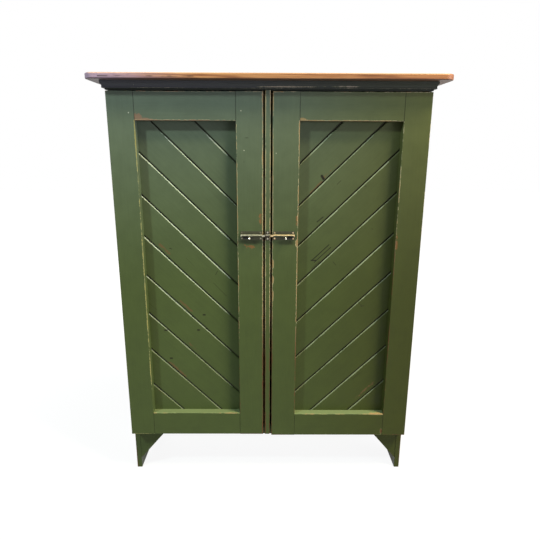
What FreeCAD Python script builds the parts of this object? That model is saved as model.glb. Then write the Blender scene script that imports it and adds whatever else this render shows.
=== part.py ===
import FreeCAD, Part

# Jelly cupboard: a two-door painted pine food cupboard on bootjack feet. The doors close over
# the front of the case, one each side of a narrow post, and have diagonal tongue-and-groove
# panels. Two barrel bolts, one on each door, shoot into one shared keeper on the post.
#
# Millimetres. X runs to the right, Y to the back and Z up. The origin is on the floor, in the
# middle of the top board's width and depth, so the doors look along -Y.
#
# What belongs to a door is built for the left-hand door and mirrored in X = 0 for the right.

import math
import os
from collections import namedtuple

from FreeCAD import Rotation, Vector

# ---------------------------------------------------------------- driving dimensions

# Case
CASE_WIDTH = 1070.0
CASE_DEPTH = 355.0
SIDE_THICKNESS = 19.0
FOOT_HEIGHT = 180.0            # floor to the underside of the bottom board
BOTTOM_THICKNESS = 19.0
SHELF_THICKNESS = 19.0
SHELF_COUNT = 3
SHELF_CLEARANCE = 3.0          # shelf front edge to the back of the door panel
HOUSING_DEPTH = 6.0            # groove in the side that carries a shelf's end
JOINT_CLEARANCE = 0.1          # around a shelf end, a tenon or a tongue
SHELF_EASE = 2.0

# Bootjack feet, the base rail under the bottom board, and the brackets that hang from its ends
FOOT_LENGTH = 112.0            # flat of one foot, front to back
ARCH_LEG = 22.0                # straight rise of the cut-out below its round head
BASE_RAIL_HEIGHT = 25.0
BASE_THICKNESS = 19.0          # of the rail and of both brackets
BASE_SETBACK = 1.0             # behind the front edges of the sides
BRACKET_WIDTH = 95.7
BRACKET_DROP = 109.0           # below the base rail
BRACKET_TOE = 3.0              # blunt lower end of the bracket

# Back
BACK_THICKNESS = 12.0
BACK_REBATE = 9.0              # how far the back boards enter each side
BACK_BOARD_COUNT = 4
BACK_TONGUE_LENGTH = 5.0
BACK_TONGUE_THICKNESS = 4.0
BACK_CHAMFER = 1.5

# Top board
TOP_THICKNESS = 19.0
TOP_SIDE_OVERHANG = 54.0
TOP_FRONT_OVERHANG = 44.0      # beyond the faces of the doors
TOP_BACK_OVERHANG = 6.0
TOP_CORNER_RADIUS = 30.0
TOP_EDGE_ROUND = 4.0

# Header rail over the doors, and the cornice nailed round it
HEADER_HEIGHT = 28.5
HEADER_CLEARANCE = 3.0         # over the doors
CORNICE_PROJECTION = 12.5
CORNICE_FOOT = 8.0             # projection of the lower edge
CORNICE_BAND = 9.0             # upright face above the cove
CORNICE_LIP = 2.5              # upright face below the cove
CORNICE_REVEAL = 5.0           # header rail left bare below the cornice

# Post between the doors
POST_WIDTH = 18.0
POST_OFFSET = -5.0             # the post stands this far from the middle
POST_EASE = 1.5

# Doors
DOOR_HEIGHT = 1266.0
DOOR_THICKNESS = 38.0
DOOR_GAP = 7.0                 # between the post and each door
HINGE_GAP = 2.0                # between the case and the back of each door
STILE_WIDTH = 90.0
TOP_RAIL_HEIGHT = 92.0
BOTTOM_RAIL_HEIGHT = 92.0
TENON_LENGTH = 40.0
TENON_THICKNESS = 12.0
TENON_SHOULDER = 12.0          # at the upper and lower edge of each rail
FRAME_EASE = 1.5

# Diagonal boards, let into a rebate in the back of the door frames
PANEL_THICKNESS = 19.0
PANEL_RECESS = 28.5            # face of the frame to the faces of the boards
PANEL_LAP = 22.0               # width of the rebate, all round the opening
PANEL_TONGUE_LENGTH = 7.0
PANEL_TONGUE_THICKNESS = 6.0
PANEL_CHAMFER = 4.0            # each side of a V joint
PANEL_SLOPE = 44.5             # degrees below level, towards the post
PANEL_BOARD_COUNT = 10         # in each door; those between the corner boards are alike
LEFT_FIRST_JOINT = 99.8        # upper post corner of the opening to the first V joint,
RIGHT_FIRST_JOINT = 102.2      # square to the joint
LEFT_LAST_JOINT = 78.0         # last V joint to the lower hinge corner, square to the joint
RIGHT_LAST_JOINT = 93.5
RIGHT_DOOR_EXTRA = 4.0         # the right door reaches this much further down

# Butt hinges
HINGE_COUNT = 2
HINGE_END_DISTANCE = 190.0     # door end to the middle of the nearest hinge
HINGE_HEIGHT = 76.0
KNUCKLE_COUNT = 3
KNUCKLE_RADIUS = 4.0
KNUCKLE_CLEARANCE = 0.3        # between knuckles, and from a knuckle to the wood
LEAF_THICKNESS = 1.8
LEAF_SEAT_WIDTH = 17.0         # on the wood
LEAF_GAP = 0.4                 # between the closed leaves
PIN_RADIUS = 2.0
PIN_CLEARANCE = 0.05

# Barrel bolts and their keeper
BOLT_HEIGHT = 970.0            # floor to the axis of both bolts
PLATE_LENGTH = 76.0
PLATE_HEIGHT = 31.0
PLATE_THICKNESS = 1.6
PLATE_MARGIN = 3.0             # lock edge of the door to the plate
PLATE_CORNER = 2.5
BARREL_END_MARGIN = 1.0        # plate end to barrel end
BARREL_WALL = 1.5
BARREL_END_WALL = 2.0
ROD_RADIUS = 4.0
ROD_CLEARANCE = 0.08
ROD_STANDOFF = 0.4             # rod to plate
ROD_NOSE = 1.5                 # length and depth of the taper at the nose
ROD_TAIL = 5.0                 # rod behind its knob
KNOB_DISTANCE = 47.5           # lock edge of the door to the knob, at rest
KNOB_STEM_RADIUS = 2.0
KNOB_RADIUS = 3.6
KNOB_HEIGHT = 6.0
KNOB_CHAMFER = 1.4
KNOB_REACH = 16.0              # rod axis to the end of the knob
KNOB_TILT = 48.0               # degrees forward of straight down
KNOB_SOCKET = 3.0              # stem inside the rod
BOLT_THROW = 7.5               # from rest into the keeper
BOLT_WITHDRAWAL = 20.0         # from rest back
SLOT_CLEARANCE = 0.4
KEEPER_LENGTH = 16.0           # along the bolts
KEEPER_HEIGHT = 32.0
KEEPER_WALL = 1.6
KEEPER_BORE_RADIUS = 5.0       # the noses of both bolts slip in freely
KEEPER_NOSE_GAP = 0.4          # from the keeper to a bolt at rest
PLATE_SCREW_INSET = 5.5        # screw to the plate's ends and long edges
KEEPER_SCREW_INSET = 5.0       # screw to the keeper's ends

# Countersunk slotted wood screw, the same everywhere
SCREW_HEAD_RADIUS = 3.1
SCREW_HEAD_DEPTH = 1.5
SCREW_RADIUS = 1.5
SCREW_LENGTH = 16.0
SCREW_SIDES = 12               # flats round the head and the plain shank
SCREW_SLOT_WIDTH = 0.8
SCREW_SLOT_DEPTH = 0.8
SCREW_CLEARANCE = 0.05

# The doors differ a little, as hand-made doors do. "post_side" is +1 where POST_OFFSET moves the
# post away from the door's mirror image.
Door = namedtuple("Door", "name mirrored post_side first_joint last_joint extra")
LEFT = Door("left", False, 1, LEFT_FIRST_JOINT, LEFT_LAST_JOINT, 0.0)
RIGHT = Door("right", True, -1, RIGHT_FIRST_JOINT, RIGHT_LAST_JOINT, RIGHT_DOOR_EXTRA)

# ---------------------------------------------------------------- levels and planes

BASE_RAIL_FOOT = FOOT_HEIGHT - BASE_RAIL_HEIGHT
BOTTOM_TOP = FOOT_HEIGHT + BOTTOM_THICKNESS
DOOR_TOP = FOOT_HEIGHT + DOOR_HEIGHT
HEADER_BOTTOM = DOOR_TOP + HEADER_CLEARANCE
TOP_UNDERSIDE = HEADER_BOTTOM + HEADER_HEIGHT

HALF_WIDTH = CASE_WIDTH / 2
INNER_HALF_WIDTH = HALF_WIDTH - SIDE_THICKNESS
TOP_DEPTH = TOP_FRONT_OVERHANG + DOOR_THICKNESS + HINGE_GAP + CASE_DEPTH + TOP_BACK_OVERHANG
TOP_FRONT = -TOP_DEPTH / 2
DOOR_FRONT = TOP_FRONT + TOP_FRONT_OVERHANG
DOOR_BACK = DOOR_FRONT + DOOR_THICKNESS
PANEL_FACE = DOOR_FRONT + PANEL_RECESS
PANEL_BACK = PANEL_FACE + PANEL_THICKNESS
CASE_FRONT = DOOR_BACK + HINGE_GAP
CASE_BACK = CASE_FRONT + CASE_DEPTH
BACK_FACE = CASE_BACK - BACK_THICKNESS
BASE_FACE = CASE_FRONT + BASE_SETBACK
SHELF_FRONT = PANEL_BACK + SHELF_CLEARANCE

HINGE_X = -HALF_WIDTH - KNUCKLE_RADIUS - KNUCKLE_CLEARANCE
HINGE_Y = DOOR_BACK + HINGE_GAP / 2
LEAF_SEAT_DEPTH = (LEAF_GAP - HINGE_GAP) / 2 + LEAF_THICKNESS

ROD_Y = DOOR_FRONT - PLATE_THICKNESS - ROD_STANDOFF - ROD_RADIUS
ROD_BORE_RADIUS = ROD_RADIUS + ROD_CLEARANCE

TINY = 0.01


# ---------------------------------------------------------------- small helpers

def block(x0, x1, y0, y1, z0, z1):
    """Rectangular block between the given planes."""
    return Part.makeBox(x1 - x0, y1 - y0, z1 - z0, Vector(x0, y0, z0))


def prism(corners, direction):
    """Straight-edged outline pushed along a direction."""
    outline = Part.makePolygon(corners + corners[:1])
    return Part.Face(outline).extrude(direction)


def mirrored(shape):
    """The same shape on the other side of X = 0."""
    return shape.mirror(Vector(0, 0, 0), Vector(1, 0, 0))


def for_door(door, shape):
    """Left-handed shape, turned into the right-hand one where the door is that one."""
    return mirrored(shape) if door.mirrored else shape


def rounded(shape, radius, test):
    """Shape with a round on each edge whose bounding box passes the test."""
    edges = [edge for edge in shape.Edges if test(edge.BoundBox)]
    return shape.makeFillet(radius, edges)


def door_bottom(door):
    return FOOT_HEIGHT - door.extra


def post_near_face(door):
    """Face of the post beside the door, in left-handed X."""
    return door.post_side * POST_OFFSET - POST_WIDTH / 2


def lock_edge(door):
    """Edge of the door beside the post, in left-handed X."""
    return post_near_face(door) - DOOR_GAP


def hinge_levels(door):
    """Heights of the middles of the door's hinges, evenly spread."""
    first = door_bottom(door) + HINGE_END_DISTANCE
    last = DOOR_TOP - HINGE_END_DISTANCE
    step = (last - first) / (HINGE_COUNT - 1)
    return [first + index * step for index in range(HINGE_COUNT)]


def shelf_levels():
    """Undersides of the shelves, which share the height inside the case evenly."""
    clear = TOP_UNDERSIDE - BOTTOM_TOP - SHELF_COUNT * SHELF_THICKNESS
    step = clear / (SHELF_COUNT + 1) + SHELF_THICKNESS
    return [BOTTOM_TOP + index * step - SHELF_THICKNESS for index in range(1, SHELF_COUNT + 1)]


# ---------------------------------------------------------------- screws

def faceted_bar(profile):
    """Closed bar along +Z with flat sides; the profile gives its corner radius at each depth."""
    step = 2 * math.pi / SCREW_SIDES
    angles = [index * step for index in range(SCREW_SIDES)]
    rings = [[Vector(radius * math.cos(angle), radius * math.sin(angle), depth)
              for angle in angles] for radius, depth in profile]
    outlines = [rings[0], rings[-1]]
    for ring, after in zip(rings, rings[1:]):
        for index in range(SCREW_SIDES):
            outlines.append([ring[index - 1], ring[index], after[index], after[index - 1]])
    faces = [Part.Face(Part.makePolygon(outline + outline[:1])) for outline in outlines]
    return Part.Solid(Part.Shell(faces))


def screw(place, direction):
    """Slotted countersunk screw: head flush at the place, shank along the direction."""
    body = faceted_bar([(SCREW_HEAD_RADIUS, 0), (SCREW_RADIUS, SCREW_HEAD_DEPTH),
                        (SCREW_RADIUS, SCREW_LENGTH)])
    slot = block(-SCREW_HEAD_RADIUS, SCREW_HEAD_RADIUS, -SCREW_SLOT_WIDTH / 2,
                 SCREW_SLOT_WIDTH / 2, 0, SCREW_SLOT_DEPTH)
    return aimed(body.cut(slot), place, direction)


def screw_hole(place, direction):
    """Room for one screw, with its clearance all round."""
    hole = faceted_bar([(SCREW_HEAD_RADIUS + SCREW_CLEARANCE, 0),
                        (SCREW_RADIUS + SCREW_CLEARANCE, SCREW_HEAD_DEPTH),
                        (SCREW_RADIUS + SCREW_CLEARANCE, SCREW_LENGTH + SCREW_CLEARANCE)])
    return aimed(hole, place, direction)


def aimed(shape, place, direction):
    """Shape made along +Z from the origin, turned to the direction and moved to the place."""
    moved = shape.copy()
    moved.Placement = FreeCAD.Placement(place, Rotation(Vector(0, 0, 1), direction))
    return moved


def plate_screw_places(door):
    """Screw heads at the four corners of a bolt's plate."""
    near = lock_edge(door) - PLATE_MARGIN - PLATE_SCREW_INSET
    far = lock_edge(door) - PLATE_MARGIN - PLATE_LENGTH + PLATE_SCREW_INSET
    rise = PLATE_HEIGHT / 2 - PLATE_SCREW_INSET
    y = DOOR_FRONT - PLATE_THICKNESS
    return [Vector(x, y, BOLT_HEIGHT + side * rise) for x in (near, far) for side in (-1, 1)]


def keeper_screw_places():
    """Screw heads above and below the loop of the keeper."""
    rise = KEEPER_HEIGHT / 2 - KEEPER_SCREW_INSET
    y = DOOR_FRONT - PLATE_THICKNESS
    return [Vector(POST_OFFSET, y, BOLT_HEIGHT + side * rise) for side in (-1, 1)]


def drilled(shape, places, direction):
    """Shape with a hole for a screw at each place."""
    return shape.cut([screw_hole(place, direction) for place in places])


# ---------------------------------------------------------------- case

def side_board(door):
    """Left-handed side: bootjack foot, housings for the shelves, rebate for the back."""
    foot_back = CASE_FRONT + FOOT_LENGTH
    foot_front = CASE_BACK - FOOT_LENGTH
    arch_middle = (foot_back + foot_front) / 2
    arch_radius = (foot_front - foot_back) / 2

    def corner(y, z):
        return Vector(-HALF_WIDTH, y, z)

    before_arch = [corner(foot_front, 0), corner(CASE_BACK, 0), corner(CASE_BACK, TOP_UNDERSIDE),
                   corner(CASE_FRONT, TOP_UNDERSIDE), corner(CASE_FRONT, 0), corner(foot_back, 0)]
    edges = [Part.makeLine(corner(foot_front, ARCH_LEG), before_arch[0])]
    edges += [Part.makeLine(a, b) for a, b in zip(before_arch, before_arch[1:])]
    edges.append(Part.makeLine(before_arch[-1], corner(foot_back, ARCH_LEG)))
    arch = Part.Arc(corner(foot_back, ARCH_LEG), corner(arch_middle, ARCH_LEG + arch_radius),
                    corner(foot_front, ARCH_LEG))
    edges.append(arch.toShape())
    board = Part.Face(Part.Wire(edges)).extrude(Vector(SIDE_THICKNESS, 0, 0))

    inner = -INNER_HALF_WIDTH
    cuts = [block(inner - BACK_REBATE, inner, BACK_FACE, CASE_BACK, FOOT_HEIGHT, TOP_UNDERSIDE)]
    housings = [(FOOT_HEIGHT, BOTTOM_THICKNESS, CASE_FRONT)]
    housings += [(level, SHELF_THICKNESS, SHELF_FRONT) for level in shelf_levels()]
    for level, thickness, front in housings:
        cuts.append(block(inner - HOUSING_DEPTH, inner, front - JOINT_CLEARANCE, BACK_FACE,
                          level - JOINT_CLEARANCE, level + thickness + JOINT_CLEARANCE))
    for level in hinge_levels(door):
        cuts.append(block(-HALF_WIDTH, -HALF_WIDTH + LEAF_SEAT_WIDTH + JOINT_CLEARANCE,
                          CASE_FRONT, CASE_FRONT + LEAF_SEAT_DEPTH,
                          level - HINGE_HEIGHT / 2, level + HINGE_HEIGHT / 2))
    return for_door(door, board.cut(cuts))


def shelf(level, thickness, front):
    """Board across the case with both ends in their housings."""
    reach = INNER_HALF_WIDTH + HOUSING_DEPTH - JOINT_CLEARANCE
    board = block(-reach, reach, front, BACK_FACE - JOINT_CLEARANCE, level, level + thickness)
    return rounded(board, SHELF_EASE,
                   lambda b: b.YMax < front + TINY and b.XLength > reach and b.ZMin > level + TINY)


def top_board():
    """Top with two rounded front corners and its front and side edges rounded over."""
    x = HALF_WIDTH + TOP_SIDE_OVERHANG
    back = TOP_FRONT + TOP_DEPTH
    board = block(-x, x, TOP_FRONT, back, TOP_UNDERSIDE, TOP_UNDERSIDE + TOP_THICKNESS)
    board = rounded(board, TOP_CORNER_RADIUS,
                    lambda b: b.YMax < TOP_FRONT + TINY and b.ZLength > TOP_THICKNESS / 2)
    return rounded(board, TOP_EDGE_ROUND,
                   lambda b: b.ZLength < TINY and b.YMin < back - TINY)


def header_rail():
    """Rail over the doors, nailed to the front edges of the sides."""
    return block(-HALF_WIDTH, HALF_WIDTH, DOOR_FRONT, CASE_FRONT, HEADER_BOTTOM, TOP_UNDERSIDE)


def cornice_outline(face_point, out):
    """Cove moulding in section: upright band, cove, lip and flat foot, against a face."""
    foot = HEADER_BOTTOM + CORNICE_REVEAL
    lip_top = foot + CORNICE_LIP
    band_foot = TOP_UNDERSIDE - CORNICE_BAND

    def at(projection, z):
        return face_point + out * projection + Vector(0, 0, z)

    hollow = (band_foot - lip_top) / 4
    cove = Part.Arc(at(CORNICE_FOOT, lip_top),
                    at((CORNICE_FOOT + CORNICE_PROJECTION) / 2 - hollow / 2,
                       (lip_top + band_foot) / 2 + hollow / 2),
                    at(CORNICE_PROJECTION, band_foot))
    edges = [Part.makeLine(at(0, foot), at(CORNICE_FOOT, foot)),
             Part.makeLine(at(CORNICE_FOOT, foot), at(CORNICE_FOOT, lip_top)),
             cove.toShape(),
             Part.makeLine(at(CORNICE_PROJECTION, band_foot),
                           at(CORNICE_PROJECTION, TOP_UNDERSIDE)),
             Part.makeLine(at(CORNICE_PROJECTION, TOP_UNDERSIDE), at(0, TOP_UNDERSIDE)),
             Part.makeLine(at(0, TOP_UNDERSIDE), at(0, foot))]
    return Part.Face(Part.Wire(edges))


def cornice_front():
    """Front length, mitred at both ends."""
    reach = HALF_WIDTH + CORNICE_PROJECTION
    outline = cornice_outline(Vector(-reach, DOOR_FRONT, 0), Vector(0, -1, 0))
    front = DOOR_FRONT - CORNICE_PROJECTION
    plan = [Vector(-HALF_WIDTH, DOOR_FRONT, FOOT_HEIGHT), Vector(-reach, front, FOOT_HEIGHT),
            Vector(reach, front, FOOT_HEIGHT), Vector(HALF_WIDTH, DOOR_FRONT, FOOT_HEIGHT)]
    return outline.extrude(Vector(2 * reach, 0, 0)).common(prism(plan, Vector(0, 0, DOOR_TOP)))


def cornice_side():
    """Left-hand return, mitred to the front length and square at the back."""
    reach = HALF_WIDTH + CORNICE_PROJECTION
    front = DOOR_FRONT - CORNICE_PROJECTION
    outline = cornice_outline(Vector(-HALF_WIDTH, front, 0), Vector(-1, 0, 0))
    plan = [Vector(-HALF_WIDTH, DOOR_FRONT, FOOT_HEIGHT), Vector(-reach, front, FOOT_HEIGHT),
            Vector(-reach, CASE_BACK, FOOT_HEIGHT), Vector(-HALF_WIDTH, CASE_BACK, FOOT_HEIGHT)]
    run = outline.extrude(Vector(0, CASE_BACK - front, 0))
    return run.common(prism(plan, Vector(0, 0, DOOR_TOP)))


def post():
    """Upright between the doors, notched over the bottom board and under the header rail."""
    x0 = POST_OFFSET - POST_WIDTH / 2
    profile = [(DOOR_FRONT, FOOT_HEIGHT), (DOOR_FRONT, HEADER_BOTTOM),
               (CASE_FRONT, HEADER_BOTTOM), (CASE_FRONT, TOP_UNDERSIDE),
               (SHELF_FRONT, TOP_UNDERSIDE), (SHELF_FRONT, BOTTOM_TOP),
               (CASE_FRONT, BOTTOM_TOP), (CASE_FRONT, FOOT_HEIGHT)]
    body = prism([Vector(x0, y, z) for y, z in profile], Vector(POST_WIDTH, 0, 0))
    body = rounded(body, POST_EASE,
                   lambda b: b.YMax < DOOR_FRONT + TINY and b.ZLength > DOOR_HEIGHT / 2)
    return drilled(body, keeper_screw_places(), Vector(0, 1, 0))


def base_rail():
    """Rail under the front of the bottom board, from side to side."""
    return block(-INNER_HALF_WIDTH, INNER_HALF_WIDTH, BASE_FACE, BASE_FACE + BASE_THICKNESS,
                 BASE_RAIL_FOOT, FOOT_HEIGHT)


def foot_bracket():
    """Left-hand three-cornered bracket between the side and the base rail."""
    outer = -INNER_HALF_WIDTH
    toe = BASE_RAIL_FOOT - BRACKET_DROP
    corners = [(outer, toe), (outer, BASE_RAIL_FOOT), (outer + BRACKET_WIDTH, BASE_RAIL_FOOT),
               (outer + BRACKET_TOE, toe)]
    return prism([Vector(x, BASE_FACE, z) for x, z in corners], Vector(0, BASE_THICKNESS, 0))


def jointed_outline(low, high, thickness, chamfer, tongue, groove, tongue_size):
    """Cross-section of a matched board as (across, deep) pairs, face at depth 0.

    The tongue stands out past "high" and the groove is cut in at "low", each only where asked.
    """
    length, height = tongue_size
    near = (thickness - height) / 2
    far = (thickness + height) / 2
    points = [(low + chamfer, 0), (high - chamfer, 0), (high, chamfer)]
    if tongue:
        points += [(high, near), (high + length, near), (high + length, far), (high, far)]
    points += [(high, thickness), (low, thickness)]
    if groove:
        bottom = low + length + JOINT_CLEARANCE
        points += [(low, far + JOINT_CLEARANCE), (bottom, far + JOINT_CLEARANCE),
                   (bottom, near - JOINT_CLEARANCE), (low, near - JOINT_CLEARANCE)]
    points.append((low, chamfer))
    return points


def back_board(index):
    """One of the upright matched boards, its face inside the case."""
    reach = INNER_HALF_WIDTH + BACK_REBATE - JOINT_CLEARANCE
    width = 2 * reach / BACK_BOARD_COUNT
    low = -reach + index * width
    outline = jointed_outline(low, low + width, BACK_THICKNESS, BACK_CHAMFER,
                              index < BACK_BOARD_COUNT - 1, index > 0,
                              (BACK_TONGUE_LENGTH, BACK_TONGUE_THICKNESS))
    corners = [Vector(x, BACK_FACE + depth, FOOT_HEIGHT) for x, depth in outline]
    return prism(corners, Vector(0, 0, TOP_UNDERSIDE - FOOT_HEIGHT))


# ---------------------------------------------------------------- doors

def opening(door):
    """Opening inside the door frame: left, right, bottom and top planes."""
    left = -HALF_WIDTH + STILE_WIDTH
    right = lock_edge(door) - STILE_WIDTH
    bottom = door_bottom(door) + BOTTOM_RAIL_HEIGHT
    top = DOOR_TOP - TOP_RAIL_HEIGHT
    return left, right, bottom, top


def rail_levels(door, upper):
    """Lower and upper edge of the top or the bottom rail."""
    _, _, bottom, top = opening(door)
    return (top, DOOR_TOP) if upper else (door_bottom(door), bottom)


def panel_room(door, back, ease):
    """Block behind the opening, over the rebate too, with some ease left all round."""
    left, right, bottom, top = opening(door)
    reach = PANEL_LAP - ease
    return block(left - reach, right + reach, PANEL_FACE, back, bottom - reach, top + reach)


def tenon(door, upper, clearance):
    """Block through both tenons of a rail, grown by a clearance for the mortises."""
    left, right, _, _ = opening(door)
    low, high = rail_levels(door, upper)
    middle = (DOOR_FRONT + DOOR_BACK) / 2
    half = TENON_THICKNESS / 2 + clearance
    return block(left - TENON_LENGTH - clearance, right + TENON_LENGTH + clearance,
                 middle - half, middle + half,
                 low + TENON_SHOULDER - clearance, high - TENON_SHOULDER + clearance)


def rail(door, upper):
    """Rail between the stiles, rebated for the boards, with a stub tenon at each end."""
    left, right, _, _ = opening(door)
    low, high = rail_levels(door, upper)
    body = block(left, right, DOOR_FRONT, DOOR_BACK, low, high)
    body = rounded(body, FRAME_EASE,
                   lambda b: b.YMax < DOOR_FRONT + TINY and b.XLength > STILE_WIDTH)
    body = body.fuse(tenon(door, upper, 0)).removeSplitter()
    return for_door(door, body.cut(panel_room(door, DOOR_BACK, 0)))


def stile(door, outer):
    """Full-height upright of the door frame, mortised for both rails and rebated."""
    left, right, _, _ = opening(door)
    x0, x1 = (-HALF_WIDTH, left) if outer else (right, lock_edge(door))
    body = block(x0, x1, DOOR_FRONT, DOOR_BACK, door_bottom(door), DOOR_TOP)
    body = rounded(body, FRAME_EASE,
                   lambda b: b.YMax < DOOR_FRONT + TINY and b.ZLength > DOOR_HEIGHT / 2)
    cuts = [tenon(door, upper, JOINT_CLEARANCE) for upper in (False, True)]
    body = body.cut(cuts + [panel_room(door, DOOR_BACK, 0)])
    if outer:
        seats = [block(x0, x0 + LEAF_SEAT_WIDTH + JOINT_CLEARANCE,
                       DOOR_BACK - LEAF_SEAT_DEPTH, DOOR_BACK,
                       level - HINGE_HEIGHT / 2, level + HINGE_HEIGHT / 2)
                 for level in hinge_levels(door)]
        return for_door(door, body.cut(seats))
    return for_door(door, drilled(body, plate_screw_places(door), Vector(0, 1, 0)))


def panel_boards(door):
    """Diagonal matched boards in the rebate, from the upper post corner down."""
    left, right, bottom, top = opening(door)
    slope = math.radians(PANEL_SLOPE)
    across = Vector(math.sin(slope), 0, math.cos(slope))
    along = Vector(math.cos(slope), 0, -math.sin(slope))
    field = panel_room(door, PANEL_BACK, JOINT_CLEARANCE)

    upper_corner = Vector(right, 0, top).dot(across)
    lower_corner = Vector(left, 0, bottom).dot(across)
    first_joint = upper_corner - door.first_joint
    last_joint = lower_corner + door.last_joint
    face = (first_joint - last_joint) / (PANEL_BOARD_COUNT - 2)
    joints = [first_joint - index * face for index in range(PANEL_BOARD_COUNT - 1)]

    lap_reach = 2 * PANEL_LAP
    highs = [upper_corner + lap_reach] + joints
    lows = joints + [lower_corner - lap_reach]
    run = (right - left) + (top - bottom)
    middle = Vector((left + right) / 2, PANEL_FACE, (top + bottom) / 2)
    boards = []
    for index, (low, high) in enumerate(zip(lows, highs)):
        outline = jointed_outline(low, high, PANEL_THICKNESS, PANEL_CHAMFER, index > 0,
                                  index < len(joints),
                                  (PANEL_TONGUE_LENGTH, PANEL_TONGUE_THICKNESS))
        centre = middle - across * middle.dot(across) - along * (run / 2)
        corners = [centre + across * s + Vector(0, depth, 0) for s, depth in outline]
        boards.append(for_door(door, prism(corners, along * run).common(field)))
    return boards


# ---------------------------------------------------------------- hinges

def hinge_leaf(door, level, on_case):
    """Leaf of a butt hinge with its share of the knuckles; the pin is fast in the case's leaf."""
    facing = 1 if on_case else -1
    near = HINGE_Y + facing * LEAF_GAP / 2
    far = near + facing * LEAF_THICKNESS
    low = level - HINGE_HEIGHT / 2
    step = HINGE_HEIGHT / KNUCKLE_COUNT
    reach = -HALF_WIDTH + LEAF_SEAT_WIDTH

    leaf = block(HINGE_X, reach, min(near, far), max(near, far), low, low + HINGE_HEIGHT)
    knuckles = []
    recesses = []
    for index in range(KNUCKLE_COUNT):
        own = (index % 2 == 0) == on_case
        start = low + index * step
        half_gap = KNUCKLE_CLEARANCE / 2
        if own:
            bottom = start + (half_gap if index > 0 else 0)
            height = low + (index + 1) * step - bottom
            height -= half_gap if index < KNUCKLE_COUNT - 1 else 0
            knuckles.append(Part.makeCylinder(KNUCKLE_RADIUS, height,
                                              Vector(HINGE_X, HINGE_Y, bottom)))
        else:
            recess_low = start - (half_gap if index > 0 else TINY)
            recess_high = start + step + (half_gap if index < KNUCKLE_COUNT - 1 else TINY)
            recesses.append(block(HINGE_X - KNUCKLE_RADIUS, -HALF_WIDTH,
                                  HINGE_Y - KNUCKLE_RADIUS, HINGE_Y + KNUCKLE_RADIUS,
                                  recess_low, recess_high))
    leaf = leaf.cut(recesses)
    foot = Vector(HINGE_X, HINGE_Y, low)
    if on_case:
        knuckles.append(Part.makeCylinder(PIN_RADIUS, HINGE_HEIGHT, foot))
        return leaf.fuse(knuckles).removeSplitter()
    bore = Part.makeCylinder(PIN_RADIUS + PIN_CLEARANCE, HINGE_HEIGHT, foot)
    return leaf.fuse(knuckles).removeSplitter().cut(bore)


def hinge_leaves(door, on_case):
    return [for_door(door, hinge_leaf(door, level, on_case)) for level in hinge_levels(door)]


# ---------------------------------------------------------------- bolts and keeper

def tunnel(x0, x1, radius, foot_y):
    """Round-headed bar along X round the rod axis, its straight sides running back to a plane."""
    def at(y, z):
        return Vector(x0, y, BOLT_HEIGHT + z)

    head = Part.Arc(at(ROD_Y, -radius), at(ROD_Y - radius, 0), at(ROD_Y, radius))
    edges = [Part.makeLine(at(foot_y, -radius), at(ROD_Y, -radius)), head.toShape(),
             Part.makeLine(at(ROD_Y, radius), at(foot_y, radius)),
             Part.makeLine(at(foot_y, radius), at(foot_y, -radius))]
    return Part.Face(Part.Wire(edges)).extrude(Vector(x1 - x0, 0, 0))


def knob_turn(shape):
    """Shape hanging straight down from the rod axis, tilted forward."""
    turned = shape.copy()
    turned.rotate(Vector(0, ROD_Y, BOLT_HEIGHT), Vector(1, 0, 0), -KNOB_TILT)
    return turned


def bolt_plate(door):
    """Plate with a half-round barrel pressed up from it, open at the nose, slotted for the knob."""
    near = lock_edge(door) - PLATE_MARGIN
    far = near - PLATE_LENGTH
    plate = block(far, near, DOOR_FRONT - PLATE_THICKNESS, DOOR_FRONT,
                  BOLT_HEIGHT - PLATE_HEIGHT / 2, BOLT_HEIGHT + PLATE_HEIGHT / 2)
    plate = rounded(plate, PLATE_CORNER, lambda b: b.XLength < TINY and b.ZLength < TINY)
    barrel_radius = ROD_BORE_RADIUS + BARREL_WALL
    barrel_near = near - BARREL_END_MARGIN
    barrel_far = far + BARREL_END_MARGIN
    barrel = tunnel(barrel_far, barrel_near, barrel_radius, DOOR_FRONT)
    bore = Part.makeCylinder(ROD_BORE_RADIUS, barrel_near - barrel_far - BARREL_END_WALL,
                             Vector(barrel_far + BARREL_END_WALL, ROD_Y, BOLT_HEIGHT),
                             Vector(1, 0, 0))
    knob = lock_edge(door) - KNOB_DISTANCE
    half_slot = KNOB_STEM_RADIUS + SLOT_CLEARANCE
    slot = block(knob - BOLT_WITHDRAWAL - half_slot, knob + BOLT_THROW + half_slot,
                 ROD_Y - half_slot, ROD_Y + half_slot, BOLT_HEIGHT - KNOB_REACH, BOLT_HEIGHT)
    body = plate.fuse(barrel).removeSplitter().cut([bore, knob_turn(slot)])
    return for_door(door, drilled(body, plate_screw_places(door), Vector(0, 1, 0)))


def bolt_rod(door):
    """Rod with a tapered nose and a socket for the stem of its knob."""
    nose = POST_OFFSET * door.post_side - KEEPER_LENGTH / 2 - KEEPER_NOSE_GAP
    tail = lock_edge(door) - KNOB_DISTANCE - ROD_TAIL
    shoulder = nose - ROD_NOSE
    straight = Part.makeCylinder(ROD_RADIUS, shoulder - tail, Vector(tail, ROD_Y, BOLT_HEIGHT),
                                 Vector(1, 0, 0))
    taper = Part.makeCone(ROD_RADIUS, ROD_RADIUS - ROD_NOSE, ROD_NOSE,
                          Vector(shoulder, ROD_Y, BOLT_HEIGHT), Vector(1, 0, 0))
    socket = Part.makeCylinder(KNOB_STEM_RADIUS + PIN_CLEARANCE, KNOB_REACH,
                               Vector(lock_edge(door) - KNOB_DISTANCE, ROD_Y,
                                      BOLT_HEIGHT - ROD_RADIUS + KNOB_SOCKET),
                               Vector(0, 0, -1))
    return for_door(door, straight.fuse(taper).cut(knob_turn(socket)))


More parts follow.
